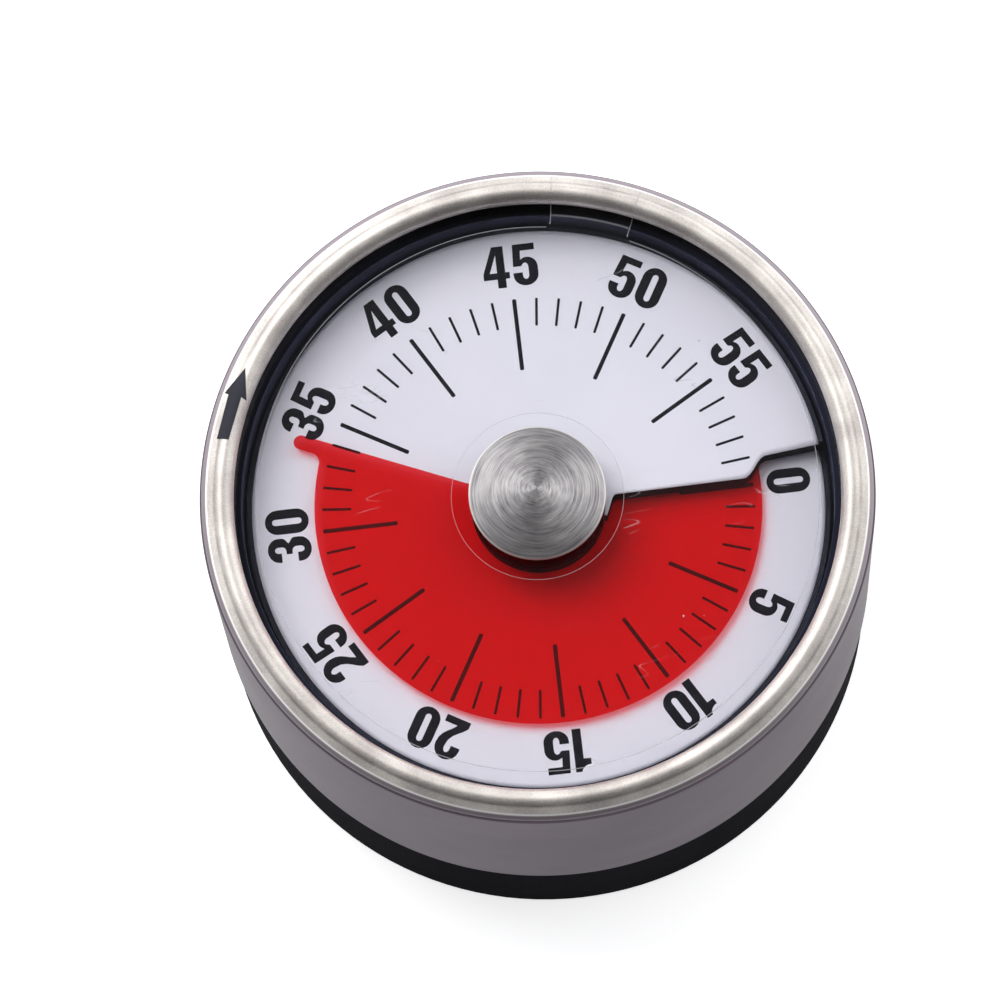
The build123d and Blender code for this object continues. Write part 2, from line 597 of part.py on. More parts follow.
# --- Dial and time film -----------------------------------------------------------
def slit_wedge(low, high, side):
    """Region beside the slit: side +1 lies anticlockwise of it and -1 clockwise."""
    bend_in = polar(FILM_R - SLIT_SWING_IN, SLIT_IN_ANGLE)
    bend_out = polar(FILM_R + SLIT_SWING_OUT, SLIT_OUT_ANGLE)
    reach = DIAL_R + TRIM_REACH
    far = polar(reach, SLIT_OUT_ANGLE)
    swing = Spline(
        bend_in, bend_out, tangents=[polar(1, SLIT_IN_ANGLE), polar(1, SLIT_OUT_ANGLE)])
    corner = polar(reach, SLIT_OUT_ANGLE + TRIM_FAN if side > 0 else -TRIM_FAN)
    outline = make_face([
        Line((0, 0), bend_in), swing, Line(bend_out, far), Line(far, corner), Line(corner, (0, 0))])
    return Pos(0, 0, low) * extrude(outline, high - low)


def dial():
    """Thin disc cut along one slit, whose two edges stand one pitch apart."""
    lead = SLIT_OUT_ANGLE + TRIM_ANGLE
    sheet = helical_slab(
        STEM_R + DIAL_HOLE_GAP, DIAL_R, -lead, 360 + lead + TRIM_ANGLE / 2,
        DIAL_Z - SHEET_PITCH * lead / 360, DIAL_T)
    sheet -= slit_wedge(DIAL_Z - TRIM_HEIGHT, DIAL_MEAN_Z, 1)
    return sheet - slit_wedge(DIAL_MEAN_Z, DIAL_Z + SHEET_PITCH + TRIM_HEIGHT, -1)


def dial_carrier():
    """Plate on the ledge of the tube, with a helical rib under the rim of the dial."""
    plate_r = TUBE_BORE_R + TUBE_LEDGE - CARRIER_FIT
    body = ring(plate_r, ARBOR_HUB_R, CARRIER_Z, TUBE_TOP)
    start = -SLIT_OUT_ANGLE
    height = SHEET_PITCH + DIAL_Z - TUBE_TOP + CARRIER_T
    top = DIAL_Z + SHEET_PITCH * start / 360 - DIAL_T / 2
    rib = helical_slab(
        DIAL_R - CARRIER_RIB_W, DIAL_R, start, CARRIER_RIB_SPAN, top - height / 2, height)
    rib -= rod(DIAL_R + TRIM_REACH, 0, TUBE_TOP - CARRIER_RIB_ROOT)
    return body + rib


def time_film():
    """Red sheet with a straight leading edge and a pointer beside it."""
    sheet = helical_slab(
        STEM_R - FILM_SEAT, TAB_R + TRIM_HEIGHT, FILM_START, FILM_SPAN, FILM_START_Z, FILM_T)
    tab = Pos((FILM_R + TAB_R) / 2 - TAB_W / 4, TAB_W / 2) * Rectangle(TAB_R - FILM_R + TAB_W / 2, TAB_W)
    outline = Circle(FILM_R) + tab + Pos(TAB_R - TAB_W / 2, TAB_W / 2) * Circle(TAB_W / 2)
    roots = [v for v in outline.vertices() if abs(math.hypot(v.X, v.Y) - FILM_R) < SEAT_FIT]
    outline = fillet(roots, TAB_FILLET)
    column = extrude(outline, SHEET_PITCH + 2 * TRIM_HEIGHT)
    cutter = Rot(0, 0, -READING * MINUTE) * Pos(0, 0, DIAL_Z - TRIM_HEIGHT) * column
    return sheet & cutter


# --- Knob -------------------------------------------------------------------------
def knob_hub():
    """Black stem under the knob, grooved for the film and screwed to the arbor."""
    spigot_top = WASHER_TOP + SPIGOT_TOP_H
    body = turned(
        (0, STEM_Z), (STEM_R, STEM_Z), (STEM_R, LENS_Z), (SPIGOT_R, LENS_Z), (SPIGOT_R, spigot_top),
        (0, spigot_top))
    body -= rod(ARBOR_R, STEM_Z, ARBOR_TOP)
    body -= rod(SCREW_HOLE_R, ARBOR_TOP, SCREW_SEAT_Z)
    body -= rod(COUNTERBORE_R + HUB_SCREW_FIT, SCREW_SEAT_Z, spigot_top)
    groove = helical_slab(
        STEM_R - FILM_SEAT, STEM_R + TRIM_HEIGHT, FILM_START, FILM_SPAN, FILM_START_Z,
        FILM_T + 2 * FILM_GROOVE_FIT)
    return body - groove


def hub_screw():
    head = rod(COUNTERBORE_R, SCREW_SEAT_Z, SCREW_SEAT_Z + SCREW_HEAD_H)
    return head + rod(SCREW_R, ARBOR_TOP - SCREW_BITE, SCREW_SEAT_Z)


def knob_washer():
    return ring(STEM_R, SPIGOT_R + SPIGOT_FIT, LENS_TOP, WASHER_TOP)


def knob_cap():
    """Turned steel cap with a bevelled rim and a low dome."""
    rim = WASHER_TOP + KNOB_RIM_H
    bevel = KNOB_R - KNOB_CHAMFER
    half_r = bevel / 2
    dome_r = (bevel ** 2 + KNOB_DOME ** 2) / (2 * KNOB_DOME)
    half_z = rim + KNOB_DOME - dome_r + math.sqrt(dome_r ** 2 - half_r ** 2)
    profile = make_face([
        Line((0, WASHER_TOP), (KNOB_R, WASHER_TOP)),
        Line((KNOB_R, WASHER_TOP), (KNOB_R, rim - KNOB_CHAMFER)),
        Line((KNOB_R, rim - KNOB_CHAMFER), (bevel, rim)),
        ThreePointArc((bevel, rim), (half_r, half_z), (0, rim + KNOB_DOME)),
        Line((0, rim + KNOB_DOME), (0, WASHER_TOP))])
    body = revolve(Plane.XZ * profile, Axis.Z)
    return body - rod(SPIGOT_R + SPIGOT_FIT, WASHER_TOP, WASHER_TOP + SPIGOT_TOP_H + SPIGOT_FIT)


# --- Steel shell and lens ---------------------------------------------------------
BAND_AT = (EDGE_R - BAND_W, EDGE_Z + BAND_RISE)
CROWN_AT = (BEZEL_R + (BAND_AT[0] - BEZEL_R) * CROWN_SHARE, EDGE_Z + CROWN_RISE)


def circle_through(first, second, third):
    """Centre and radius of the circle through three points."""
    (ax, ay), (bx, by), (cx, cy) = first, second, third
    twice = 2 * (ax * (by - cy) + bx * (cy - ay) + cx * (ay - by))
    a2, b2, c2 = ax ** 2 + ay ** 2, bx ** 2 + by ** 2, cx ** 2 + cy ** 2
    x = (a2 * (by - cy) + b2 * (cy - ay) + c2 * (ay - by)) / twice
    y = (a2 * (cx - bx) + b2 * (ax - cx) + c2 * (bx - ax)) / twice
    return (x, y), math.dist(first, (x, y))


def steel_shell():
    """Spun steel shell: straight wall, rounded shoulder, crisp edge, band and crown."""
    shoulder_z = EDGE_Z - SHOULDER_H
    neck_z = shoulder_z - NECK_DEPTH
    lip_r = BEZEL_R + BEZEL_LIP
    crown_under = (CROWN_AT[0], CROWN_AT[1] - CROWN_DEPTH)
    profile = make_face([
        Line((SHELL_R, SHELL_Z), (SHELL_R, shoulder_z)),
        TangentArc((SHELL_R, shoulder_z), (EDGE_R, EDGE_Z), tangent=(0, 1)),
        Line((EDGE_R, EDGE_Z), BAND_AT),
        ThreePointArc(BAND_AT, CROWN_AT, (BEZEL_R, BEZEL_Z)),
        Line((BEZEL_R, BEZEL_Z), (lip_r, LENS_TOP)),
        Line((lip_r, LENS_TOP), crown_under),
        Line(crown_under, (EDGE_R - SHELL_T, EDGE_Z - SHELL_T)),
        Line((EDGE_R - SHELL_T, EDGE_Z - SHELL_T), (SHELL_BORE_R, neck_z)),
        Line((SHELL_BORE_R, neck_z), (SHELL_BORE_R, SHELL_Z)),
        Line((SHELL_BORE_R, SHELL_Z), (SHELL_R, SHELL_Z))])
    return revolve(Plane.XZ * profile, Axis.Z)


def bezel_liner():
    """Black ring inside the shell that seats the lens and hides the rim of the dial."""
    flange_r = SHELL_BORE_R - LINER_FIT
    seat_r = LENS_R + LINER_FIT
    flange_z = LENS_Z - LINER_FLANGE_T
    return turned(
        (LINER_BORE_R, LINER_Z), (LINER_BORE_R + LINER_WALL, LINER_Z),
        (LINER_BORE_R + LINER_WALL, flange_z), (flange_r, flange_z), (flange_r, LENS_TOP),
        (seat_r, LENS_TOP), (seat_r, LENS_Z), (LINER_BORE_R, LENS_Z))


def lens():
    return ring(LENS_R, SPIGOT_R + SPIGOT_FIT, LENS_Z, LENS_TOP)


def protective_film():
    """Thin disc on the lens with a pull tab that rises from it and runs over the bezel."""
    disc = ring(PEEL_R, PEEL_HOLE_R, LENS_TOP, LENS_TOP + PEEL_T)
    centre, crown_r = circle_through(BAND_AT, CROWN_AT, (BEZEL_R, BEZEL_Z))
    band_angle = math.degrees(math.atan2(BAND_AT[1] - centre[1], BAND_AT[0] - centre[0]))

    def side(lift):
        rise = (BEZEL_R - PEEL_RISE_GAP, LENS_TOP + lift)
        angles = (PEEL_TOUCH_ANGLE, PEEL_TOP_ANGLE, band_angle)
        arc = [step_from(centre, crown_r + lift, angle) for angle in angles]
        return [
            Line((PEEL_R - PEEL_TAB_ROOT, rise[1]), rise), Line(rise, arc[0]), ThreePointArc(*arc),
            Line(arc[2], (EDGE_R, EDGE_Z + lift + PEEL_LIFT))]

    under = side(PEEL_LIFT)
    over = side(PEEL_LIFT + PEEL_T)
    ends = [Line(under[0] @ 0, over[0] @ 0), Line(under[3] @ 1, over[3] @ 1)]
    strip = Plane.XZ * make_face(under + over + ends)
    tab = Rot(0, 0, PEEL_TAB_START) * revolve(strip, Axis.Z, PEEL_TAB_SPAN)
    return disc + tab


PARTS = {
    "base_cover": base_cover,
    "movement_tube": movement_tube,
    "ring_magnet": ring_magnet,
    "bell": bell,
    "bell_screw": bell_screw,
    "back_plate": lambda: plate(PLATE_Z),
    "front_plate": lambda: plate(FRONT_Z),
    "pillars": pillars,
    "pillar_screws": pillar_screws,
    "case_screws": case_screws,
    "spring_post": spring_post,
    "mainspring": mainspring,
    "dial_carrier": dial_carrier,
    "dial": dial,
    "steel_shell": steel_shell,
    "bezel_liner": bezel_liner,
    "lens": lens,
    "protective_film": protective_film,
    "knob_cap": knob_cap,
    "knob_washer": knob_washer,
    "knob_hub": knob_hub,
    "hub_screw": hub_screw,
    "time_film": time_film,
    "main_arbor": arbor,
    "main_gear": main_gear,
    "trip_cam": trip_cam,
    "second_arbor": lambda: fine_arbor(SECOND_AT),
    "second_pinion": lambda: pinion(
        MAIN_MODULE, SECOND_DIR, SECOND_Z + WHEEL_T, MAIN_Z + MAIN_WHEEL_T, SECOND_AT),
    "second_wheel": lambda: fine_wheel(SECOND_TEETH, THIRD_DIR, SECOND_Z, SECOND_AT),
    "third_arbor": lambda: fine_arbor(THIRD_AT),
    "third_pinion": lambda: pinion(
        FINE_MODULE, THIRD_DIR, THIRD_Z + WHEEL_T, SECOND_Z + WHEEL_T, THIRD_AT),
    "third_wheel": lambda: fine_wheel(THIRD_TEETH, ESCAPE_DIR, THIRD_Z, THIRD_AT),
    "escape_arbor": lambda: fine_arbor(ESCAPE_AT),
    "escape_pinion": lambda: pinion(
        FINE_MODULE, ESCAPE_DIR, ESCAPE_Z + ESCAPE_T, THIRD_Z + WHEEL_T, ESCAPE_AT),
    "escape_wheel": escape_wheel,
    "balance_staff": lambda: fine_arbor(BALANCE_AT),
    "balance_wheel": balance_wheel,
    "pallet_lever": pallet_lever,
    "hammer_arbor": hammer_arbor,
    "hammer": hammer,
    "trip_lever": trip_lever,
}


def main():
    os.makedirs("parts", exist_ok=True)
    for name, make in PARTS.items():
        shape = make()
        if isinstance(shape, list):
            shape = Compound(children=shape)
        export_step(shape, f"parts/{name}.step")


main()
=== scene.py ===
# %% [markdown]
# # A wind-up kitchen timer
# The timer is a low drum: a black base, a steel shell that turns, and a dial under a flat
# lens. A red film winds through a slit in the dial and shows how many minutes are left.
# The solid model of the timer is loaded first. Each visible piece is then either given a
# material as it is or made again here with finer edges, on the same axis and to the same sizes.

# %% Load the solid model
import json
import math

import bmesh
import bpy
from mathutils import Matrix, Vector
from mathutils.bvhtree import BVHTree

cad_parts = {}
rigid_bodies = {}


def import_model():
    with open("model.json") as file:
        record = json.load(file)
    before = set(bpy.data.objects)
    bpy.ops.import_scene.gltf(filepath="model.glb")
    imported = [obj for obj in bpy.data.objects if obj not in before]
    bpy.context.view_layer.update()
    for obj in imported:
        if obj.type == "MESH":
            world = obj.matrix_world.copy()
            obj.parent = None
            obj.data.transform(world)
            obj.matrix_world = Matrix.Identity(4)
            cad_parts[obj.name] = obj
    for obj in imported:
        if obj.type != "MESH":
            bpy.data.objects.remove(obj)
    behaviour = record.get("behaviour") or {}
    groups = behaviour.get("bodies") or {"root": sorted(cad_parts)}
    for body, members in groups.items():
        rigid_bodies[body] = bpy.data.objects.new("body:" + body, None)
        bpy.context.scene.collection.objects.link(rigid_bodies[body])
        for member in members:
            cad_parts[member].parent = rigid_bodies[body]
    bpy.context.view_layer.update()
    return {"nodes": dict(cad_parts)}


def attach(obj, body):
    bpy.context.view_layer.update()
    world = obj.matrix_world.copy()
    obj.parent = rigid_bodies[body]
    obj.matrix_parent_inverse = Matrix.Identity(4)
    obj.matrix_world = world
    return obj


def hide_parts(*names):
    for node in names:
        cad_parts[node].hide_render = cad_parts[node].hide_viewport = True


for leftover in list(bpy.data.objects):
    bpy.data.objects.remove(leftover)
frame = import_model()
nodes = frame["nodes"]

# %% [markdown]
# ## The camera
# Nothing in a picture can be compared until the camera stands right, so it comes first.
# It looks down steeply from the side of minute 15, a long way off, which keeps the round
# case almost free of perspective. Three directions at right angles make its rotation:
# the picture's right, the picture's up, and the way back towards the camera.

# %% Place the camera
MM = 0.001
CAMERA_ELEVATION = math.radians(74.607)
CAMERA_ROLL = math.radians(6.404)
CAMERA_DISTANCE = 601.86
FOCAL_SHARE = 6.42682          # focal length in picture widths
AIM_X, AIM_Y = 0.045684, -0.086644   # the origin in the picture, in widths from its middle
AIM_Z = 1.1
DIAL_TURN = math.radians(-0.24)

sideways = Vector((1, 0, 0))
upwards = Vector((0, math.sin(CAMERA_ELEVATION), math.cos(CAMERA_ELEVATION)))
back = Vector((0, -math.cos(CAMERA_ELEVATION), math.sin(CAMERA_ELEVATION)))
right = sideways * math.cos(CAMERA_ROLL) - upwards * math.sin(CAMERA_ROLL)
up = sideways * math.sin(CAMERA_ROLL) + upwards * math.cos(CAMERA_ROLL)
reach = CAMERA_DISTANCE / FOCAL_SHARE
place = back * CAMERA_DISTANCE - right * AIM_X * reach - up * AIM_Y * reach
place.z += AIM_Z

camera = bpy.data.objects.new("camera", bpy.data.cameras.new("camera"))
bpy.context.scene.collection.objects.link(camera)
axes = Matrix((right, up, back)).transposed().to_4x4()
camera.matrix_world = Matrix.Rotation(DIAL_TURN, 4, "Z") @ Matrix.Translation(place * MM) @ axes
camera.data.sensor_width = 36.0
camera.data.lens = 36.0 * FOCAL_SHARE
camera.data.clip_start = 0.01
bpy.context.scene.camera = camera
print("camera at", [round(value / MM, 1) for value in camera.matrix_world.translation])

# %% [markdown]
# ## Drawing with a pen
# Most pieces of the timer were spun or turned, so each starts as half a cross-section.
# A pen draws it from one vertex: a straight run extrudes the vertex, and an arc spins it
# about the arc's own centre. Spinning the closed outline about the timer's axis then gives
# the whole piece. This keeps every radius and height readable as a number in millimetres.
# Faces are shaded smooth, but an edge of more than 12 degrees stays sharp: otherwise the
# flat face of the lens would be shaded like a bowl, and would mirror the lamps.

# %% The pen
def circle_through(first, second, third):
    """Centre of the circle through three points in the XZ plane."""
    a, b, c = (Vector((point[0], point[1])) for point in (first, second, third))
    twice = 2 * (a.x * (b.y - c.y) + b.x * (c.y - a.y) + c.x * (a.y - b.y))
    squares = a.length_squared, b.length_squared, c.length_squared
    x = squares[0] * (b.y - c.y) + squares[1] * (c.y - a.y) + squares[2] * (a.y - b.y)
    y = squares[0] * (c.x - b.x) + squares[1] * (a.x - c.x) + squares[2] * (b.x - a.x)
    return Vector((x / twice, y / twice))


def pen_line(bm, vert, end):
    made = bmesh.ops.extrude_vert_indiv(bm, verts=[vert])["verts"][0]
    made.co = Vector((end[0], 0, end[1]))
    return made


def pen_arc(bm, vert, via, end, steps=10):
    """Arc from the pen's vertex through one point to another."""
    start = (vert.co.x, vert.co.z)
    centre = circle_through(start, via, end)
    turns = [math.atan2(p[1] - centre.y, p[0] - centre.x) for p in (start, via, end)]
    sweep = (turns[2] - turns[0]) % math.tau
    if (turns[1] - turns[0]) % math.tau > sweep:
        sweep -= math.tau
    last = bmesh.ops.spin(
        bm, geom=[vert], cent=(centre.x, 0, centre.y), axis=(0, 1, 0), angle=-sweep, steps=steps)
    return next(item for item in last["geom_last"] if isinstance(item, bmesh.types.BMVert))


SHARP = math.radians(12)
WELD = 1e-4             # millimetres


def weld(bm):
    bmesh.ops.remove_doubles(bm, verts=bm.verts, dist=WELD)


def whole_turn(bm, steps):
    """Spin everything once round the timer's axis."""
    bmesh.ops.spin(
        bm, geom=bm.verts[:] + bm.edges[:], cent=(0, 0, 0), axis=(0, 0, 1), angle=math.tau,
        steps=steps, use_merge=True)


def mesh_of(bm, name):
    """Mesh from a bmesh, which is then freed."""
    mesh = bpy.data.meshes.new(name)
    bm.to_mesh(mesh)
    bm.free()
    return mesh


def placed(name, data):
    """Object in the scene that holds a mesh, a lamp or a camera."""
    made = bpy.data.objects.new(name, data)
    bpy.context.scene.collection.objects.link(made)
    return made


def piece_from(bm, name, body, smooth=True):
    """Object in metres from a bmesh in millimetres, riding on a body."""
    bmesh.ops.scale(bm, vec=(MM, MM, MM), verts=bm.verts)
    for face in bm.faces:
        face.smooth = smooth
    mesh = mesh_of(bm, name)
    mesh.set_sharp_from_angle(angle=SHARP)
    piece = placed(name, mesh)
    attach(piece, body)
    print(name, "has", len(mesh.polygons), "faces")
    return piece


def face_up(bm):
    """Turn the faces of an open sheet so that they look up."""
    bmesh.ops.recalc_face_normals(bm, faces=bm.faces)
    if sum(face.normal.z for face in bm.faces) < 0:
        bmesh.ops.reverse_faces(bm, faces=bm.faces)


def thicken(piece, thickness):
    """Give a sheet its thickness, half above and half below."""
    sheet = piece.modifiers.new("sheet", "SOLIDIFY")
    sheet.thickness = thickness * MM
    sheet.offset = 0


# %% The lathe
def spun(outline, steps=240, soften=0.0, sharper_than=25.0):
    """Solid of revolution from an outline of points, where a pair is an arc (via, end)."""
    bm = bmesh.new()
    pen = bm.verts.new((outline[0][0], 0, outline[0][1]))
    for move in outline[1:]:
        if isinstance(move[0], tuple):
            pen = pen_arc(bm, pen, *move)
        else:
            pen = pen_line(bm, pen, move)
    weld(bm)
    whole_turn(bm, steps)
    weld(bm)
    bmesh.ops.recalc_face_normals(bm, faces=bm.faces)
    if soften:
        limit = math.radians(sharper_than)
        corners = [edge for edge in bm.edges if edge.calc_face_angle(0) > limit]
        bmesh.ops.bevel(
            bm, geom=corners, offset=soften, segments=3, affect="EDGES", profile=0.5,
            material=-1, clamp_overlap=True)
    return bm


# %% [markdown]
# ## The steel shell
# On the real timer this is one cup of thin stainless sheet, spun over a former: a straight
# wall to grip, a small rounded step, a crisp edge, and a softly crowned bezel that drops to
# the lens. A tube with a torus on top would show a seam, so the whole wall is one outline.
# The sheet's raw edges are softened by a few hundredths, which is what catches the light.

# %% Spin the shell
SHELL_R = 30.0
SHELL_LOW = 12.3
SHOULDER_Z = 34.05
EDGE = (29.4, 34.8)
BAND = (28.65, 35.1)
CROWN = (28.069, 35.35)
BEZEL = (27.12, 33.75)
SHEET = 0.6
# Height down to which the shoulder takes the bezel's paler finish, painted light for its sheen.
PALE_SHOULDER_Z = 34.5        # the bezel's finish runs over its edge down to here
LENS_TOP = 33.15

shoulder_r = ((EDGE[1] - SHOULDER_Z) ** 2 + (SHELL_R - EDGE[0]) ** 2) / (2 * (SHELL_R - EDGE[0]))
bend = math.radians(40)
shoulder_via = (
    SHELL_R - shoulder_r + shoulder_r * math.cos(bend), SHOULDER_Z + shoulder_r * math.sin(bend))
LIP_IN = 0.1            # the bezel's inner lip slopes outwards by this
CROWN_WALL = 0.96       # thickness under the crown
BURR = 0.045

shell_outline = [
    (SHELL_R, SHELL_LOW), (SHELL_R, SHOULDER_Z), (shoulder_via, EDGE), BAND, (CROWN, BEZEL, 24),
    (BEZEL[0] + LIP_IN, LENS_TOP), (CROWN[0], CROWN[1] - CROWN_WALL),
    (EDGE[0] - SHEET, EDGE[1] - SHEET), (SHELL_R - SHEET, SHOULDER_Z - SHEET / 2),
    (SHELL_R - SHEET, SHELL_LOW), (SHELL_R, SHELL_LOW)]
bm = spun(shell_outline, steps=360, soften=BURR)
# Painted light: the upper part of the shoulder takes the paler bezel finish, a lighter tone painted
# for its sheen.
for face in bm.faces:
    middle = face.calc_center_median()
    on_bezel = middle.to_2d().length < EDGE[0] + BURR / 2 and middle.z > LENS_TOP
    face.material_index = 1 if on_bezel or middle.z > PALE_SHOULDER_Z else 0
shell = piece_from(bm, "steel_shell_spun", "winder")
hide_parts("steel_shell")

# %% [markdown]
# ## The arrow on the bezel
# A small arrow is printed on the steel and points the way to wind. Its seven edges are
# drawn flat and filled, and the face is cut finely so that it can bend. It is then dropped
# straight down onto the spun surface, where a hair of height keeps it above the steel.

# %% Print the arrow
INK_LIFT = 0.02


def at_angle(radius, degrees, height=0.0):
    turn = math.radians(degrees)
    return Vector((radius * math.cos(turn), radius * math.sin(turn), height))


def laid_on(bm, carrier, lift):
    """Every vertex dropped straight down onto a finished piece."""
    tree = BVHTree.FromPolygons(
        [vert.co / MM for vert in carrier.data.vertices],
        [polygon.vertices for polygon in carrier.data.polygons])
    for vert in bm.verts:
        hit = tree.ray_cast(Vector((vert.co.x, vert.co.y, 60)), Vector((0, 0, -1)))[0]
        vert.co.z = hit.z + lift


arrow_corners = [
    (28.4, 149.7), (29.35, 155.1), (28.95, 155.2), (28.9, 163.6), (27.8, 163.6), (27.72, 155.2),
    (27.2, 155.4)]
bm = bmesh.new()
corners = [bm.verts.new(at_angle(radius, angle)) for radius, angle in arrow_corners]
outline = [bm.edges.new(pair) for pair in zip(corners, corners[1:] + corners[:1])]
bmesh.ops.contextual_create(bm, geom=outline)
bmesh.ops.triangulate(bm, faces=bm.faces)
bmesh.ops.subdivide_edges(bm, edges=bm.edges, cuts=7, use_grid_fill=True)
bmesh.ops.triangulate(bm, faces=bm.faces)
laid_on(bm, shell, INK_LIFT)
face_up(bm)
arrow = piece_from(bm, "winding_arrow", "winder")

# %% [markdown]
# ## Liner, lens and washer
# A black ring inside the shell carries the lens and hides the rim of the dial. The lens is
# a flat disc of clear plastic with a hole for the stem. All three are plain turned shapes,
# so the lathe makes them, and the softened edges stop them from looking cut from paper.

# %% Turn the liner, the lens and the washer
LENS_LOW = 31.95
LENS_R = 27.62
LENS_FIT = 0.03
LINER_BORE = 26.4
LINER_WALL = 1.2
LINER_R = 29.37
LINER_LOW = 27.3
LINER_FLANGE = 30.35

bm = spun([
    (LINER_BORE, LINER_LOW), (LINER_BORE + LINER_WALL, LINER_LOW),
    (LINER_BORE + LINER_WALL, LINER_FLANGE), (LINER_R, LINER_FLANGE), (LINER_R, LENS_TOP),
    (LENS_R + LENS_FIT, LENS_TOP), (LENS_R + LENS_FIT, LENS_LOW), (LINER_BORE, LENS_LOW),
    (LINER_BORE, LINER_LOW)], soften=0.06)
liner = piece_from(bm, "bezel_liner_ring", "winder")
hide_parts("bezel_liner")

BORE = 4.45         # hole of the lens, the washer and the knob, round the stem's neck
bm = spun([
    (BORE, LENS_LOW), (LENS_R, LENS_LOW), (LENS_R, LENS_TOP), (BORE, LENS_TOP),
    (BORE, LENS_LOW)], soften=0.05)
lens = piece_from(bm, "lens_disc", "winder")
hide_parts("lens")

WASHER_TOP = 33.95
WASHER_R = 5.7
bm = spun([
    (BORE, LENS_TOP), (WASHER_R, LENS_TOP), (WASHER_R, WASHER_TOP), (BORE, WASHER_TOP),
    (BORE, LENS_TOP)], steps=120, soften=0.05)
washer = piece_from(bm, "knob_washer_ring", "winder")
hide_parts("knob_washer")

# %% [markdown]
# ## The knob
# The knob is a small steel button turned on a lathe, with a narrow bevel round its rim and
# a shallow dome. The cutting tool leaves rings on such a face. The broad shape is geometry
# here, and the rings, which are a few hundredths deep, are left to the material.

# %% Turn the knob
KNOB_R = 6.1
KNOB_RIM_Z = WASHER_TOP + 0.4
KNOB_BEVEL = 0.12
DOME = 1.65         # height of the dome over its rim
KNOB_TOP = KNOB_RIM_Z + DOME
KNOB_POCKET = 35.1

dome_r = ((KNOB_R - KNOB_BEVEL) ** 2 + DOME ** 2) / (2 * DOME)
dome_via_r = KNOB_R * 0.54
dome_via = (dome_via_r, KNOB_TOP - dome_r + math.sqrt(dome_r ** 2 - dome_via_r ** 2))
bm = spun([
    (BORE, WASHER_TOP), (KNOB_R, WASHER_TOP), (KNOB_R, KNOB_RIM_Z - KNOB_BEVEL),
    (KNOB_R - KNOB_BEVEL, KNOB_RIM_Z), (dome_via, (0.0, KNOB_TOP), 28), (0.0, KNOB_POCKET),
    (BORE, KNOB_POCKET), (BORE, WASHER_TOP)], steps=180, soften=0.02)
knob = piece_from(bm, "knob_button", "winder")
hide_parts("knob_cap")

# %% [markdown]
# ## The dial
# The dial is a thin white disc cut along one slit. One lip of the slit stands a turn of the
# helix above the other, so the red film can slide up through it. A sheet like this is the
# path of its own cut edge: the edge is drawn once, from hub to rim, and spun through one
# turn while it climbs. The edge starts with a short tongue beside the stem, runs straight
# out and swings aside before it reaches the numerals.

# %% Spin the dial from its slit
PITCH = 2.0
DIAL_Z = 28.2
DIAL_IN, DIAL_OUT = 6.0, 25.63
DIAL_T = 0.08
SLIT_IN, SLIT_OUT = 0.4, 5.6
SWING = (18.5, 20.7)
TONGUE, HOOK = -17.0, (6.25, 7.1)
SHEET_STEPS = 240


def helix_height(clockwise, start=DIAL_Z):
    return start + PITCH * clockwise / 360


def eased(value, low, high):
    share = min(max((value - low) / (high - low), 0), 1)
    return share * share * (3 - 2 * share)


def slit_angle(radius):
    """Degrees of the slit ahead of zero, anticlockwise, at a radius."""
    along_hook = min(max((radius - HOOK[0]) / (HOOK[1] - HOOK[0]), 0), 1)
    hook = (TONGUE - SLIT_IN) * (1 - along_hook) ** 3
    return SLIT_IN + hook + (SLIT_OUT - SLIT_IN) * eased(radius, *SWING)


def climb(bm, geometry, degrees, steps):
    """Spin edges clockwise about the axis while they rise with the helix."""
    rise = PITCH * degrees / 360 / steps
    return bmesh.ops.spin(
        bm, geom=geometry, cent=(0, 0, 0), axis=(0, 0, 1), dvec=(0, 0, rise),
        angle=-math.radians(degrees), steps=steps)


bm = bmesh.new()
stops = [bm.verts.new((radius, 0, 0)) for radius in (DIAL_IN, HOOK[1] + 0.1, DIAL_OUT)]
runs = [bm.edges.new(pair) for pair in zip(stops, stops[1:])]
for run, cuts in zip(runs, (24, 44)):
    bmesh.ops.subdivide_edges(bm, edges=[run], cuts=cuts)
for vert in bm.verts:
    ahead = slit_angle(vert.co.x)
    vert.co = at_angle(vert.co.x, ahead, helix_height(-ahead))
climb(bm, bm.verts[:] + bm.edges[:], 360, SHEET_STEPS)
face_up(bm)
dial = piece_from(bm, "dial_disc", "case")
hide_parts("dial")
thicken(dial, DIAL_T)

# %% [markdown]
# ## The red film
# The film is a second sheet of the same helix, held in a groove of the stem. At its front
# edge it is cut straight, and a small rounded pointer stands out over the numerals. The
# round part is spun as the dial was. The pointer is then drawn on with the pen, from the
# rim of the sheet and back to it, and closed to one face.

# %% Spin the film and draw its pointer
FILM_IN, FILM_OUT = 4.3, 20.0
FILM_T = 0.05
FILM_LEAD = 203.6
FILM_SPAN = 345.0
FILM_LEAD_Z = 30.117
POINTER_R = 22.7
POINTER_W = 1.3
POINTER_FILLET = 0.9
FILM_STEPS = 230


def film_height(point):
    """Height of the film's helix under a point near its front edge."""
    ahead = math.degrees(math.atan2(point.y, point.x)) + FILM_LEAD
    return FILM_LEAD_Z - PITCH * ((ahead + 180) % 360 - 180) / 360


bm = bmesh.new()
start = FILM_LEAD - FILM_SPAN
start_z = FILM_LEAD_Z - PITCH * FILM_SPAN / 360
ends = [bm.verts.new(at_angle(radius, -start, start_z)) for radius in (FILM_IN, FILM_OUT)]
bm.edges.new(ends)
bmesh.ops.subdivide_edges(bm, edges=bm.edges, cuts=30)
climb(bm, bm.verts[:] + bm.edges[:], FILM_SPAN, FILM_STEPS)

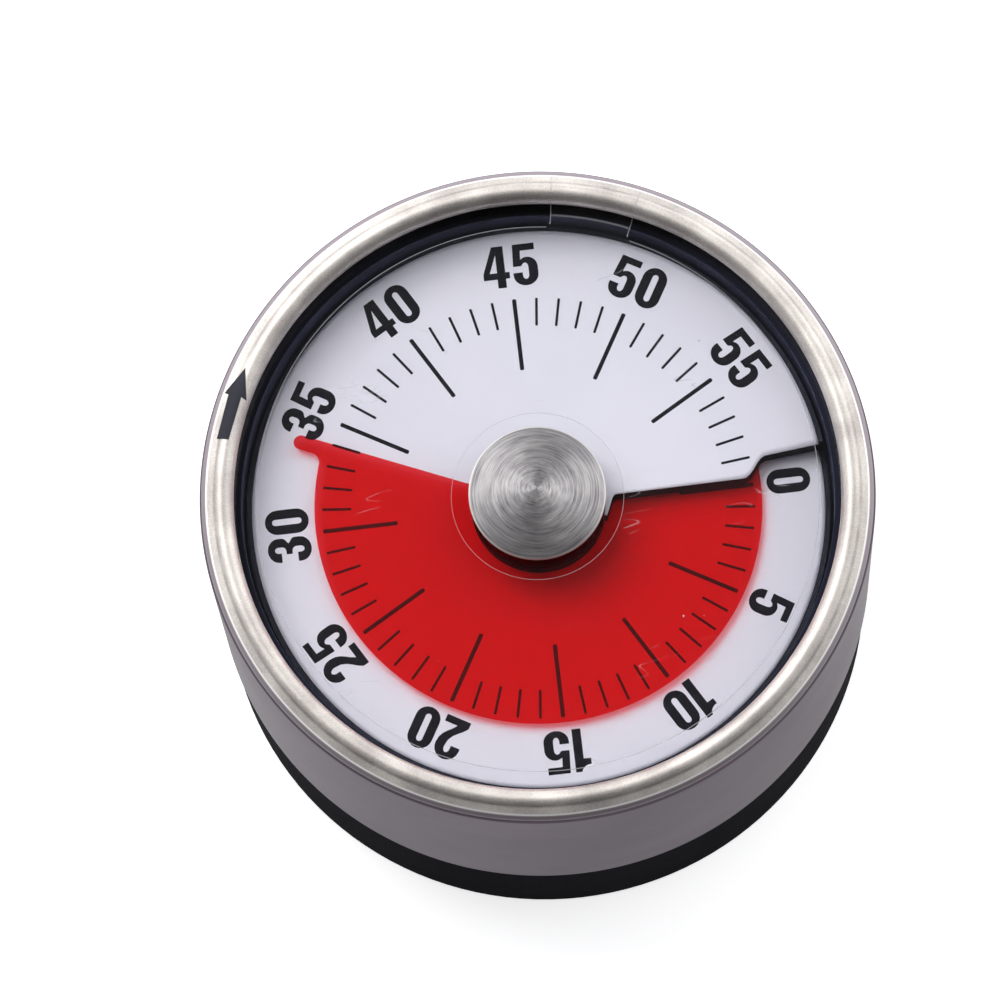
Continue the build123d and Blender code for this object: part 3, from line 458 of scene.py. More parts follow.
# The pointer has its own flat frame: x runs out along the front edge, y back over the film.
fillet_y = POINTER_W + POINTER_FILLET
fillet_x = math.sqrt((FILM_OUT + POINTER_FILLET) ** 2 - fillet_y ** 2)
touch = math.atan2(fillet_y, fillet_x)
outward = Matrix.Rotation(-math.radians(FILM_LEAD), 4, "Z")
rim = [vert for vert in bm.verts if abs(vert.co.to_2d().length - FILM_OUT) < 1e-3]
rim = [vert for vert in rim if abs(vert.co.z - FILM_LEAD_Z) < PITCH / 3]
inward = outward.inverted()
behind = {vert: math.atan2((inward @ vert.co).y, (inward @ vert.co).x) for vert in rim}
root = [vert for vert in rim if -1e-4 < behind[vert] < touch]
root.sort(key=lambda vert: behind[vert])
print("the pointer stands on", len(root), "rim vertices")


def drawn_run(vert, spot):
    """Edge from a vertex to a spot of the pointer's own flat frame."""
    made = bmesh.ops.extrude_vert_indiv(bm, verts=[vert])
    made["verts"][0].co = outward @ Vector((*spot, 0))
    pointer_edges.extend(made["edges"])
    return made["verts"][0]


def drawn_turn(vert, centre, turn, steps):
    """Arc from a vertex about a centre of the pointer's own flat frame."""
    known = set(bm.edges)
    last = bmesh.ops.spin(
        bm, geom=[vert], cent=outward @ Vector((*centre, 0)), axis=(0, 0, 1), angle=turn,
        steps=steps)["geom_last"]
    pointer_edges.extend(edge for edge in bm.edges if edge not in known)
    return next(item for item in last if isinstance(item, bmesh.types.BMVert))


pointer_edges = []
tip_x = POINTER_R - POINTER_W / 2
pen = drawn_run(root[0], (tip_x, 0))
pen = drawn_turn(pen, (tip_x, POINTER_W / 2), math.pi, 12)
pen = drawn_run(pen, (fillet_x, POINTER_W))
pen = drawn_turn(pen, (fillet_x, fillet_y), touch - math.pi / 2, 8)
for vert in {vert for edge in pointer_edges for vert in edge.verts if vert != root[0]}:
    vert.co.z = film_height(vert.co)
pointer_edges.append(bm.edges.new((pen, root[-1])))
rim_edges = [bm.edges.get(pair) for pair in zip(root, root[1:])]
bmesh.ops.edgenet_fill(bm, edges=rim_edges + pointer_edges)
bmesh.ops.triangulate(bm, faces=[face for face in bm.faces if len(face.verts) > 4])
face_up(bm)
film = piece_from(bm, "red_time_film", "winder")
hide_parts("time_film")
thicken(film, FILM_T)

# %% [markdown]
# ## Printing the dial
# The scale has a stroke for each minute, a longer and thicker one every five, and numerals
# that stand on the rim with their heads outwards. Real dials are pad printed, so the print
# is modelled as ink: flat faces a few thousandths of a millimetre above the sheet, laid on
# the same helix. The red film passes only hundredths above, so nothing may be thicker.

# %% Print the strokes
INK_GAP = 0.004
STROKE_OUT = 19.36
MINOR_IN, MINOR_W = 16.74, 0.24
MAJOR_IN, MAJOR_W = 12.66, 0.38
MINUTE = 6.0


def on_dial(point, clockwise):
    """Height of the ink at a point of the print that belongs to a mark at this angle."""
    away = math.degrees(math.atan2(point.y, point.x)) + clockwise
    return helix_height(clockwise - ((away + 180) % 360 - 180)) + DIAL_T / 2 + INK_GAP


def stroke_mesh(inner, width):
    """Flat mesh of one stroke with rounded corners, lying along X."""
    bm = bmesh.new()
    bmesh.ops.create_grid(bm, x_segments=8, y_segments=2, size=0.5)
    bmesh.ops.scale(bm, vec=(STROKE_OUT - inner, width, 1), verts=bm.verts)
    corners = [vert for vert in bm.verts if len(vert.link_faces) == 1]
    bmesh.ops.bevel(
        bm, geom=corners, offset=width * 0.3, segments=3, affect="VERTICES", profile=0.5,
        material=-1)
    bmesh.ops.translate(bm, vec=((STROKE_OUT + inner) / 2, 0, 0), verts=bm.verts)
    return mesh_of(bm, "stroke")


def stamp(bm, mesh, minute, ahead=0.0):
    """Lay a flat mesh on the dial at its minute."""
    known = len(bm.verts)
    bm.from_mesh(mesh)
    turn = Matrix.Rotation(-math.radians(minute * MINUTE + ahead), 3, "Z")
    for vert in bm.verts[known:]:
        vert.co = turn @ vert.co
        vert.co.z = on_dial(vert.co, minute * MINUTE)


minor_stroke = stroke_mesh(MINOR_IN, MINOR_W)
major_stroke = stroke_mesh(MAJOR_IN, MAJOR_W)
bm = bmesh.new()
for minute in range(60):
    stamp(bm, minor_stroke if minute % 5 else major_stroke, minute)
strokes = piece_from(bm, "dial_strokes", "case", smooth=False)

# %% [markdown]
# ## Numerals
# The dial uses the heavy, narrow figures of old signs, and only six of them occur, so they
# are drawn here as a type designer would: Bezier outlines with a node wherever the outline
# runs level or upright. A mark beside a node says which, and the handles follow from it. A
# flat curve fills itself, counts inner outlines as holes, and is then made a mesh.

# %% Draw six figures
DIGIT_W = 0.59          # of the height, and so are the rest
STEM = 0.222
BAR = 0.165
ROUND_HANDLE = 0.5523   # handle of a quarter circle, of its radius
MID = DIGIT_W / 2
INNER = DIGIT_W - STEM
FIGURES = {
    "0": [[(MID, 1, "h"), (DIGIT_W, 0.72, "v"), (DIGIT_W, 0.28, "v"), (MID, 0, "h"), (0, 0.28, "v"),
           (0, 0.72, "v")],
          [(MID, 1 - BAR, "h"), (STEM, 0.76, "v"), (STEM, 0.24, "v"), (MID, BAR, "h"),
           (INNER, 0.24, "v"), (INNER, 0.76, "v")]],
    "1": [[(0.23, 1), (0.38, 1), (0.38, 0), (0.17, 0), (0.17, 0.7), (0, 0.7), (0, 0.84, "h"),
           (0.23, 1, "v")]],
    "2": [[(0, 0), (DIGIT_W, 0), (DIGIT_W, 0.17), (0.27, 0.17), (DIGIT_W, 0.7, "v"), (MID, 1, "h"),
           (0, 0.72, "v"), (0, 0.65), (STEM, 0.65), (STEM, 0.73, "v"), (MID, 1 - BAR, "h"),
           (INNER, 0.71, "v"), (0, 0.15)]],
    "3": [[(0, 0.73, "v"), (MID, 1, "h"), (DIGIT_W - 0.01, 0.76, "v"), (DIGIT_W - 0.01, 0.67, "v"),
           (0.45, 0.515), (DIGIT_W, 0.37, "v"), (DIGIT_W, 0.25, "v"), (MID, 0, "h"), (0, 0.26, "v"),
           (0, 0.32), (STEM, 0.32), (STEM, 0.25, "v"), (MID, BAR, "h"), (INNER, 0.26, "v"),
           (INNER, 0.34, "v"), (0.26, 0.44, "h"), (0.19, 0.44), (0.19, 0.58), (0.26, 0.58, "h"),
           (INNER, 0.67, "v"), (INNER, 0.75, "v"), (MID, 1 - BAR, "h"), (STEM, 0.74, "v"),
           (STEM, 0.69), (0, 0.69)]],
    "4": [[(0.52, 1), (0.52, 0.37), (0.62, 0.37), (0.62, 0.215), (0.52, 0.215), (0.52, 0),
           (0.32, 0), (0.32, 0.215), (0, 0.215), (0, 0.365), (0.25, 1)],
          [(0.325, 0.37), (0.155, 0.37), (0.325, 0.8)]],
    "5": [[(0.04, 1), (0.55, 1), (0.55, 0.84), (0.21, 0.84), (0.195, 0.63), (0.345, 0.68, "h"),
           (DIGIT_W, 0.44, "v"), (DIGIT_W, 0.26, "v"), (MID, 0, "h"), (0, 0.25, "v"), (0, 0.32),
           (STEM, 0.32), (STEM, 0.25, "v"), (MID, BAR - 0.01, "h"), (INNER, 0.26, "v"),
           (INNER, 0.44, "v"), (MID, 0.545, "h"), (0.2, 0.47), (0.01, 0.47)]]}


def handle(node, towards):
    """End of the handle of one node on its side towards another."""
    across, up = towards[0] - node[0], towards[1] - node[1]
    if node[2:] == ("h",):
        return (node[0] + ROUND_HANDLE * across, node[1], 0)
    if node[2:] == ("v",):
        return (node[0], node[1] + ROUND_HANDLE * up, 0)
    return (node[0] + across / 3, node[1] + up / 3, 0)


def figure_mesh(text):
    """Flat mesh of a number, one unit high and centred on the origin."""
    curve = bpy.data.curves.new("figure", "CURVE")
    curve.dimensions = "2D"
    curve.fill_mode = "BOTH"
    curve.resolution_u = 5
    start = 0.0
    for digit in text:
        for outline in FIGURES[digit]:
            spline = curve.splines.new("BEZIER")
            spline.bezier_points.add(len(outline) - 1)
            spline.use_cyclic_u = True
            for index, (point, node) in enumerate(zip(spline.bezier_points, outline)):
                point.co = (node[0], node[1], 0)
                point.handle_left = handle(node, outline[index - 1])
                point.handle_right = handle(node, outline[(index + 1) % len(outline)])
                for axis in (point.co, point.handle_left, point.handle_right):
                    axis.x += start
        start += max(node[0] for node in FIGURES[digit][0]) + NUMERAL_GAP
    holder = bpy.data.objects.new("figure", curve)
    mesh = bpy.data.meshes.new_from_object(holder)
    bpy.data.objects.remove(holder)
    mesh.transform(Matrix.Translation((-(start - NUMERAL_GAP) / 2, -0.5, 0)))
    return mesh


# %% Print the numerals
NUMERAL_MID_R = 22.5
NUMERAL_H = 3.95
NUMERAL_W = 3.84    # width of one unit across a figure
NUMERAL_GAP = 0.085

bm = bmesh.new()
for minute in range(0, 60, 5):
    figure = figure_mesh(str(minute))
    figure.transform(Matrix.Diagonal((NUMERAL_W, NUMERAL_H, 1, 1)))
    figure.transform(Matrix.Translation((0, NUMERAL_MID_R, 0)))
    stamp(bm, figure, minute, 90)
weld(bm)
bmesh.ops.triangulate(bm, faces=bm.faces)
flipped = [face for face in bm.faces if face.normal.z < 0]
bmesh.ops.reverse_faces(bm, faces=flipped)
numerals = piece_from(bm, "dial_numerals", "case", smooth=False)

# %% [markdown]
# ## The protective film
# The lens is sold with a thin clear film on it, and a pull tab runs from the film over the
# bezel. The disc comes from one edge spun round. The tab then grows out of the disc's own
# rim: its edges are extruded again and again along the path over the steel, so the film
# stays one sheet, with a small round at the root of the tab.

# %% Spin the film's disc and pull out the tab
PEEL_R = 25.1
PEEL_HOLE = 7.65
PEEL_T = 0.06
PEEL_Z = LENS_TOP + PEEL_T / 2 + 0.002
PEEL_STEPS = 720
TAB_FROM, TAB_TO = 65.0, 81.0
TAB_ROUND = 0.6
TAB_PATH = [
    (25.16, 33.19), (25.22, 33.19), (25.3, 33.19), (25.42, 33.19), (25.56, 33.2), (25.7, 33.2),
    (26.3, 33.22), (26.7, 33.35), (26.98, 33.72), (27.16, 34.2), (27.36, 34.7), (27.62, 35.12),
    (27.9, 35.37), (28.1, 35.41), (28.35, 35.35), (28.65, 35.19), (29.0, 35.05), (29.3, 34.93)]

bm = bmesh.new()
ends = [bm.verts.new((PEEL_HOLE, 0, PEEL_Z)), bm.verts.new((PEEL_R, 0, PEEL_Z))]
bm.edges.new(ends)
bmesh.ops.subdivide_edges(bm, edges=bm.edges, cuts=6)
whole_turn(bm, PEEL_STEPS)


def polar_of(point):
    return point.to_2d().length, math.degrees(math.atan2(point.y, point.x))


middle = (TAB_FROM + TAB_TO) / 2
half = (TAB_TO - TAB_FROM) / 2
flare = math.degrees(TAB_ROUND / PEEL_R)
edge_row = []
for edge in bm.edges:
    spots = [polar_of(vert.co) for vert in edge.verts]
    on_rim = all(abs(radius - PEEL_R) < 1e-3 for radius, angle in spots)
    if on_rim and all(abs(angle - middle) < half + flare for radius, angle in spots):
        edge_row.append(edge)
for radius, height in TAB_PATH:
    grown = bmesh.ops.extrude_edge_only(bm, edges=edge_row)["geom"]
    edge_row = [item for item in grown if isinstance(item, bmesh.types.BMEdge)]
    row = [item for item in grown if isinstance(item, bmesh.types.BMVert)]
    out = min((radius - PEEL_R) / TAB_ROUND, 1)
    target = half + flare * (1 - math.sqrt(1 - (1 - out) ** 2))
    ahead = [(vert, polar_of(vert.co)[1]) for vert in row]
    widest = max(abs(angle - middle) for vert, angle in ahead)
    for vert, angle in ahead:
        vert.co = at_angle(radius, middle + (angle - middle) * target / widest, height)
    edge_row = [edge for edge in edge_row if all(vert in row for vert in edge.verts)]
face_up(bm)
peel = piece_from(bm, "protective_film_sheet", "winder")
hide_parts("protective_film")
thicken(peel, PEEL_T)

# %% [markdown]
# ## Screws with a cross recess
# Four screws close the case from below. The solid model has plain heads, because the
# cross is too small to matter there. Here the heads are turned again with a domed edge, and
# the cross is cut with a bevelled bar used twice, by a boolean that is applied at once.

# %% Turn the case screws
SCREW_CIRCLE = 21.0
SCREW_SPOTS = [at_angle(SCREW_CIRCLE, angle) for angle in (85, 155, 285, 330)]
SCREW_TURN = 0.7        # radians between one cross and the next
HEAD_R, HEAD_LOW, HEAD_TOP = 1.9, 0.4, 1.4
SHANK_R, SHANK_TOP = 0.85, 16.4

bm = spun([
    (0, HEAD_LOW), (1.1, HEAD_LOW), ((1.7, HEAD_LOW + 0.16), (HEAD_R, HEAD_LOW + 0.5), 6),
    (HEAD_R, HEAD_TOP), (SHANK_R, HEAD_TOP), (SHANK_R, SHANK_TOP), (0, SHANK_TOP),
    (0, HEAD_LOW)], steps=64, soften=0.02)
screw = placed("screw", mesh_of(bm, "screw"))
CROSS_BAR = (2.1, 0.42, 1.4)    # length, width and twice the depth of one bar
CROSS_TAPER = 0.55              # its length at the bottom, of that at the face
bm = bmesh.new()
for turn in (20, 110):
    made = bmesh.ops.create_cube(bm, size=1.0)["verts"]
    bmesh.ops.scale(bm, vec=CROSS_BAR, verts=made)
    for vert in made:
        if vert.co.z > 0:
            vert.co.x *= CROSS_TAPER
    bmesh.ops.rotate(bm, matrix=Matrix.Rotation(math.radians(turn), 3, "Z"), verts=made)
cross = placed("cross", mesh_of(bm, "cross"))
cut = screw.modifiers.new("cross", "BOOLEAN")
cut.object = cross
cut.operation = "DIFFERENCE"
cut.use_self = True
depsgraph = bpy.context.evaluated_depsgraph_get()
finished = bpy.data.meshes.new_from_object(screw.evaluated_get(depsgraph))
bpy.data.objects.remove(screw)
bpy.data.objects.remove(cross)

bm = bmesh.new()
for index, spot in enumerate(SCREW_SPOTS):
    known = len(bm.verts)
    bm.from_mesh(finished)
    fresh = bm.verts[known:]
    bmesh.ops.rotate(bm, matrix=Matrix.Rotation(index * SCREW_TURN, 3, "Z"), verts=fresh)
    bmesh.ops.translate(bm, vec=spot, verts=fresh)
screws = piece_from(bm, "case_screws_cross", "case", smooth=False)
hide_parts("case_screws")

# %% [markdown]
# ## Building materials
# Every finish below is one Principled shader fed by patterns worked out from the piece's
# own coordinates. A few small functions keep that short: one adds a node with its settings
# and links, and the rest are built on it. Effects that several finishes share are node
# groups, with their own named inputs.

# %% Helpers for nodes
def add(tree, kind, inputs=None, **settings):
    """A node with its settings, whose inputs are set to a value or linked from a socket."""
    made = tree.nodes.new("ShaderNode" + kind)
    for name, value in settings.items():
        setattr(made, name, value)
    for socket, value in (inputs or {}).items():
        if isinstance(value, bpy.types.NodeSocket):
            tree.links.new(value, made.inputs[socket])
        else:
            made.inputs[socket].default_value = value
    return made


def maths(tree, operation, first, second=0.0):
    return add(tree, "Math", {0: first, 1: second}, operation=operation).outputs[0]


def vectors(tree, operation, first, second=(0, 0, 0)):
    made = add(tree, "VectorMath", {0: first, 1: second}, operation=operation)
    return made.outputs["Value" if operation == "LENGTH" else 0]


def noise(tree, vector, scale, detail, roughness=0.5, **fourth):
    """Outputs of a noise texture, in four dimensions if W is given."""
    return add(tree, "TexNoise", {
        "Vector": vector, "Scale": scale, "Detail": detail, "Roughness": roughness, **fourth},
        noise_dimensions="4D" if fourth else "3D").outputs


def scaled(tree, value, factor, plus=0.0):
    """A value times a factor, plus another."""
    return add(
        tree, "Math", {0: value, 1: factor, 2: plus}, operation="MULTIPLY_ADD").outputs[0]


def srgb(red, green, blue):
    """Scene colour of a colour given in 0 to 255 as a screen shows it."""
    def linear(value):
        value /= 255
        return value / 12.92 if value <= 0.04045 else ((value + 0.055) / 1.055) ** 2.4
    return (linear(red), linear(green), linear(blue), 1.0)


def blend_colours(tree, share, first, second):
    """Mix of two colours, each a socket or a triple of 0 to 255."""
    colours = [srgb(*tone) if isinstance(tone, tuple) else tone for tone in (first, second)]
    made = add(tree, "Mix", dict(zip((0, 6, 7), (share, *colours))), data_type="RGBA")
    return made.outputs[2]


def ramp(tree, value, stops):
    """Value run through (position, grey) stops."""
    made = add(tree, "ValToRGB", {0: value})
    elements = made.color_ramp.elements
    while len(elements) < len(stops):
        elements.new(0.5)
    for element, (position, grey) in zip(elements, stops):
        element.position = position
        element.color = (grey, grey, grey, 1)
    return made.outputs[0]


def radius_in_mm(tree):
    """Flat object coordinates in millimetres, and the distance from the axis."""
    where = add(tree, "TexCoord").outputs["Object"]
    flat = vectors(tree, "MULTIPLY", where, (1000, 1000, 0))
    return flat, vectors(tree, "LENGTH", flat)


def new_material(name, **fixed):
    """A material with a Principled shader and its plain values."""
    made = bpy.data.materials.new(name)
    made.use_nodes = True
    made.node_tree.nodes.clear()
    shader = add(made.node_tree, "BsdfPrincipled", {
        key.replace("_", " "): value for key, value in fixed.items()})
    add(made.node_tree, "OutputMaterial", {"Surface": shader.outputs[0]})
    return made, made.node_tree, shader


def new_group(name, inputs, outputs):
    """A node group with float sockets, what it is asked and what it gives."""
    tree = bpy.data.node_groups.new(name, "ShaderNodeTree")
    for label, value in inputs.items():
        made = tree.interface.new_socket(label, in_out="INPUT", socket_type="NodeSocketFloat")
        made.default_value = value
    for label in outputs:
        tree.interface.new_socket(label, in_out="OUTPUT", socket_type="NodeSocketFloat")
    return tree, tree.nodes.new("NodeGroupInput").outputs, tree.nodes.new("NodeGroupOutput").inputs


def place_group(tree, group, **values):
    made = tree.nodes.new("ShaderNodeGroup")
    made.node_tree = group
    for key, value in values.items():
        made.inputs[key.replace("_", " ")].default_value = value
    return made.outputs


def link(tree, pairs):
    for source, target in pairs:
        tree.links.new(source, target)


def feed(tree, shader, **sources):
    """Link sockets to a shader's inputs of the same names."""
    link(tree, [(source, shader.inputs[key.replace("_", " ")]) for key, source in sources.items()])


def show(tree, surface):
    """Make a shader the one that the material shows."""
    tree.links.new(surface, tree.nodes["Material Output"].inputs["Surface"])


def wear(*pairs):
    """Give pieces their finishes."""
    for piece, finish in pairs:
        piece.data.materials.append(finish)


def bump(tree, shader, height, strength, distance):
    made = add(tree, "Bump", {"Strength": strength, "Distance": distance * MM, "Height": height})
    tree.links.new(made.outputs[0], shader.inputs["Normal"])


# %% [markdown]
# ## Patterns that finishes share
# Turned and spun metal carries fine rings round its axis. In coordinates of radius, angle
# and height, such a ring is noise that changes fast across and hardly at all round. The
# second group is the tiny grain of a moulded or blasted surface, and the third gives
# scattered specks of dust. Object coordinates are in metres, so scales are per metre.

# %% Group for turning rings
rings, ask, give = new_group(
    "turning_rings", {"Rings": 6.0, "Upright Rings": 6.0, "Round": 0.6, "Seed": 0.0},
    ["Fine", "Broad"])
flat, radius_mm = radius_in_mm(rings)
height_mm = scaled(rings, add(rings, "SeparateXYZ", {
    0: add(rings, "TexCoord").outputs["Object"]}).outputs[2], 1000.0)
around = add(rings, "SeparateXYZ", {
    0: vectors(rings, "DIVIDE", flat, maths(rings, "ADD", radius_mm, 0.001))}).outputs
across = scaled(rings, radius_mm, ask["Rings"], scaled(rings, height_mm, ask["Upright Rings"]))
ring_space = add(rings, "CombineXYZ", {
    0: scaled(rings, around[0], ask["Round"]),
    1: scaled(rings, around[1], ask["Round"]), 2: across}).outputs[0]
fine = noise(rings, ring_space, 1.0, 5.0, 0.7, W=ask["Seed"])
slow_space = vectors(rings, "MULTIPLY", ring_space, (1.6, 1.6, 0.12))
broad = noise(rings, slow_space, 1.0, 2.0, W=ask["Seed"])
link(rings, [(fine[0], give["Fine"]), (broad[0], give["Broad"])])
print("group", rings.name, "is ready")

# %% Group for fine grain
grain, ask, give = new_group("fine_grain", {"Size": 0.25, "Patch Size": 9.0}, ["Grain", "Patches"])
where = add(grain, "TexCoord").outputs["Object"]
small = noise(grain, where, maths(grain, "DIVIDE", 1000.0, ask["Size"]), 3.0)
large = noise(grain, where, maths(grain, "DIVIDE", 1000.0, ask["Patch Size"]), 4.0)
link(grain, [(small[0], give["Grain"]), (large[0], give["Patches"])])
print("group", grain.name, "is ready")

# %% Group for dust specks
dust, ask, give = new_group(
    "dust_specks", {"Spacing": 2.6, "Share": 0.35, "Size": 0.045}, ["Speck"])
where = add(dust, "TexCoord").outputs["Object"]
WOBBLE = 0.00016        # metres by which the outline of a speck wanders
wobble = noise(dust, where, 9000.0, 2.0)["Color"]
shift = vectors(dust, "SUBTRACT", wobble, (0.5, 0.5, 0.5))
near = vectors(dust, "ADD", where, vectors(dust, "MULTIPLY", shift, (WOBBLE, WOBBLE, WOBBLE)))
cells = add(dust, "TexVoronoi", {
    "Vector": near, "Scale": maths(dust, "DIVIDE", 1000.0, ask["Spacing"])})
chosen = add(dust, "SeparateColor", {0: cells.outputs["Color"]}).outputs
size = scaled(dust, maths(dust, "ADD", chosen[1], 0.25), ask["Size"])
inside = maths(dust, "LESS_THAN", cells.outputs["Distance"], size)
picked = maths(dust, "LESS_THAN", chosen[0], ask["Share"])
link(dust, [(scaled(dust, inside, picked), give["Speck"])])
print("group", dust.name, "is ready")

# %% [markdown]
# ## Steel
# The wall of the shell is brushed round. Its dark satin colour is painted shade: it is darker than
# the steel and stands in for the dark surroundings that the wall mirrored. The knob has deep turned
# rings and a burnished bevel, and its bright fans of light come from anisotropy. Cycles lays
# the long way of a highlight round the piece's own axis, but fine rings stretch it across
# themselves, so it takes a quarter turn.

# %% Steel finishes
def steel(name, dark, bright, roughness, rings_per_mm, upright, bump_height, anisotropy,
          round_noise=0.6, edge=1.0, burnished=None):
    made, tree, shader = new_material(
        name, Metallic=1.0, Anisotropic=anisotropy, Anisotropic_Rotation=0.25,
        Specular_Tint=(edge, edge * 0.97, edge, 1))
    marks = place_group(tree, rings, Rings=rings_per_mm, Upright_Rings=upright, Round=round_noise)
    patches = place_group(tree, grain, Size=0.08, Patch_Size=14.0)
    tone = scaled(tree, marks["Fine"], 0.78, scaled(tree, marks["Broad"], 0.22))
    spread = ramp(tree, tone, [(0.34, 0.0), (0.66, 1.0)])
    colour = blend_colours(tree, spread, dark, bright)
    if burnished:
        rim = maths(tree, "GREATER_THAN", radius_in_mm(tree)[1], burnished)
        colour = blend_colours(tree, rim, colour, (226, 224, 220))
    rough = scaled(tree, patches["Patches"], 0.08, roughness - 0.12)
    feed(tree, shader, Base_Color=colour, Roughness=scaled(tree, marks["Fine"], 0.16, rough))
    bump(tree, shader, marks["Fine"], 0.5, bump_height)
    print("steel finish", name)
    return made


# The wall's dark colours are painted shade: darker than the steel, they stand in for the dark
# surroundings it reflected.
shell_wall_painted_dark = steel(
    "shell_wall_steel_painted_dark", (44, 38, 42), (86, 77, 83), 0.33, 2.0, 5.0, 0.001, 0.5, 1.4, 0.8)
knob_face = steel(
    "knob_turned_steel", (112, 109, 113), (212, 209, 208), 0.53, 7.5, 1.5, 0.01, 0.9, 1.3,
    burnished=KNOB_R - KNOB_BEVEL)
screw_finish = steel(
    "screw_steel_finish", (120, 118, 116), (188, 186, 182), 0.34, 8.0, 2.0, 0.004, 0.3)
wear((shell, shell_wall_painted_dark), (knob, knob_face), (screws, screw_finish))

# %% [markdown]
# ## The blasted bezel
# The bezel was blasted with fine beads, so it is pale and soft, with a grain that shows only
# close to. Small bumps scatter the reflections evenly, and slow patches keep the tone alive.
# Masks on the radius do the rest: a line of painted shade in the crease where the crown meets
# the outer band, a painted highlight along the edge, and painted shade, a greyer tone, past it.

# %% Bezel finish
shell_bezel, tree, shader = new_material("shell_bezel_steel", Metallic=1.0)
beads = place_group(tree, grain, Size=0.13, Patch_Size=4.0)
streaks = place_group(tree, rings, Rings=4.0, Upright_Rings=4.0, Round=9.0)
tone = scaled(tree, beads["Patches"], 0.6, scaled(tree, beads["Grain"], 0.4))
cream = blend_colours(
    tree, ramp(tree, tone, [(0.36, 0.0), (0.64, 1.0)]), (190, 183, 178), (234, 228, 220))
radius_mm = radius_in_mm(tree)[1]
from_crease = maths(tree, "SUBTRACT", radius_mm, BAND[0])
# Painted shade: a darker line along the crease between the crown and the outer band.
crease_shade = ramp(tree, maths(tree, "ABSOLUTE", from_crease), [(0.0, 1.0), (0.2, 0.0)])
uneven = ramp(tree, streaks["Broad"], [(0.35, 0.2), (0.6, 0.55)])
cream = blend_colours(tree, scaled(tree, crease_shade, uneven), cream, (122, 112, 108))
from_edge = maths(tree, "SUBTRACT", radius_mm, EDGE[0] - 0.03)
# Painted highlight: a near-white line along the crisp outer edge.
edge_highlight = ramp(tree, maths(tree, "ABSOLUTE", from_edge), [(0.04, 1.0), (0.1, 0.0)])
cream = blend_colours(tree, edge_highlight, cream, (250, 248, 245))
# Painted shade: a greyer tone past the edge, on the shoulder.
shoulder_shade = ramp(tree, from_edge, [(0.05, 0.0), (0.14, 1.0)])
cream = blend_colours(tree, shoulder_shade, cream, (158, 149, 154))
on_band = ramp(tree, from_crease, [(0.0, 0.0), (0.1, 1.0)])
off_band = maths(tree, "SUBTRACT", 1.0, on_band)
rough = scaled(tree, beads["Grain"], 0.24, 0.1)
rough = scaled(tree, rough, off_band, scaled(tree, on_band, 0.28, 0.27))
feed(tree, shader, Base_Color=cream, Roughness=rough)
bump(tree, shader, scaled(tree, beads["Grain"], off_band), 1.0, 0.016)
wear((shell, shell_bezel))
print("bezel finish", shell_bezel.name)

# %% [markdown]
# ## Black plastics and ink
# The base, the liner and the stem are moulded. A fine grain in the roughness and the
# height, and slow patches in the colour, keep black from reading as a hole. The ink of the
# scale and of the arrow is nearly black too, with tiny pinholes where the pad missed.

# %% Plastic finishes
def plastic(name, colour, lighter, roughness, grain_size=0.22, grain_height=0.006, gloss=0.5):
    made, tree, shader = new_material(name, Specular_IOR_Level=gloss)
    marks = place_group(tree, grain, Size=grain_size, Patch_Size=8.0)
    specks = place_group(tree, dust, Spacing=4.0, Share=0.12, Size=0.03)
    patches = ramp(tree, marks["Patches"], [(0.35, 0.0), (0.7, 1.0)])
    tone = blend_colours(tree, patches, colour, lighter)
    tone = blend_colours(tree, scaled(tree, specks["Speck"], 0.5), tone, (150, 150, 150))
    feed(tree, shader, Base_Color=tone,
         Roughness=scaled(tree, marks["Grain"], 0.25, roughness - 0.12))
    bump(tree, shader, marks["Grain"], 0.6, grain_height)
    print("plastic finish", name)
    return made


base_plastic = plastic("base_black_plastic", (23, 22, 26), (30, 29, 33), 0.6, gloss=0.002)
liner_finish = plastic("liner_black_plastic", (47, 50, 69), (54, 58, 79), 0.5, gloss=0.1)
hub_finish = plastic("hub_black_plastic", (18, 17, 20), (25, 24, 27), 0.45, gloss=0.2)
wear((liner, liner_finish), (washer, hub_finish))


def ink(name, colour, lighter):
    made, tree, shader = new_material(name, Specular_IOR_Level=0.05)
    marks = place_group(tree, grain, Size=0.12, Patch_Size=3.0)
    holes = place_group(tree, dust, Spacing=1.3, Share=0.10, Size=0.05)
    tone = blend_colours(tree, marks["Patches"], colour, lighter)
    tone = blend_colours(tree, scaled(tree, holes["Speck"], 0.7), tone, (150, 150, 155))
    feed(tree, shader, Base_Color=tone, Roughness=scaled(tree, marks["Grain"], 0.2, 0.45))
    print("ink", name)
    return made


dial_ink = ink("dial_ink", (16, 16, 23), (24, 24, 32))
arrow_ink = ink("arrow_ink", (56, 56, 63), (70, 70, 78))
wear((strokes, dial_ink), (numerals, dial_ink), (arrow, arrow_ink))

# %% [markdown]
# ## The dial sheet and the red film
# The dial is a cool white plastic sheet with a soft gloss. The red film is a colour filter:
# light goes down through it, comes back from the white dial, and passes it again, so the
# strokes below stay visible and a pink edge falls beside it. That needs a coloured
# Transparent shader, mixed with a little of the film's own gloss and body colour. Light
# crosses both faces of the sheet each way, four in all, so each takes only a small part.

# %% Sheet finishes
dial_finish, tree, shader = new_material("dial_white_sheet")
marks = place_group(tree, grain, Size=0.3, Patch_Size=11.0)
white = blend_colours(tree, marks["Patches"], (222, 221, 233), (231, 230, 240))
feed(tree, shader, Base_Color=white, Roughness=scaled(tree, marks["Grain"], 0.15, 0.38))
bump(tree, shader, marks["Grain"], 0.3, 0.002)
wear((dial, dial_finish))

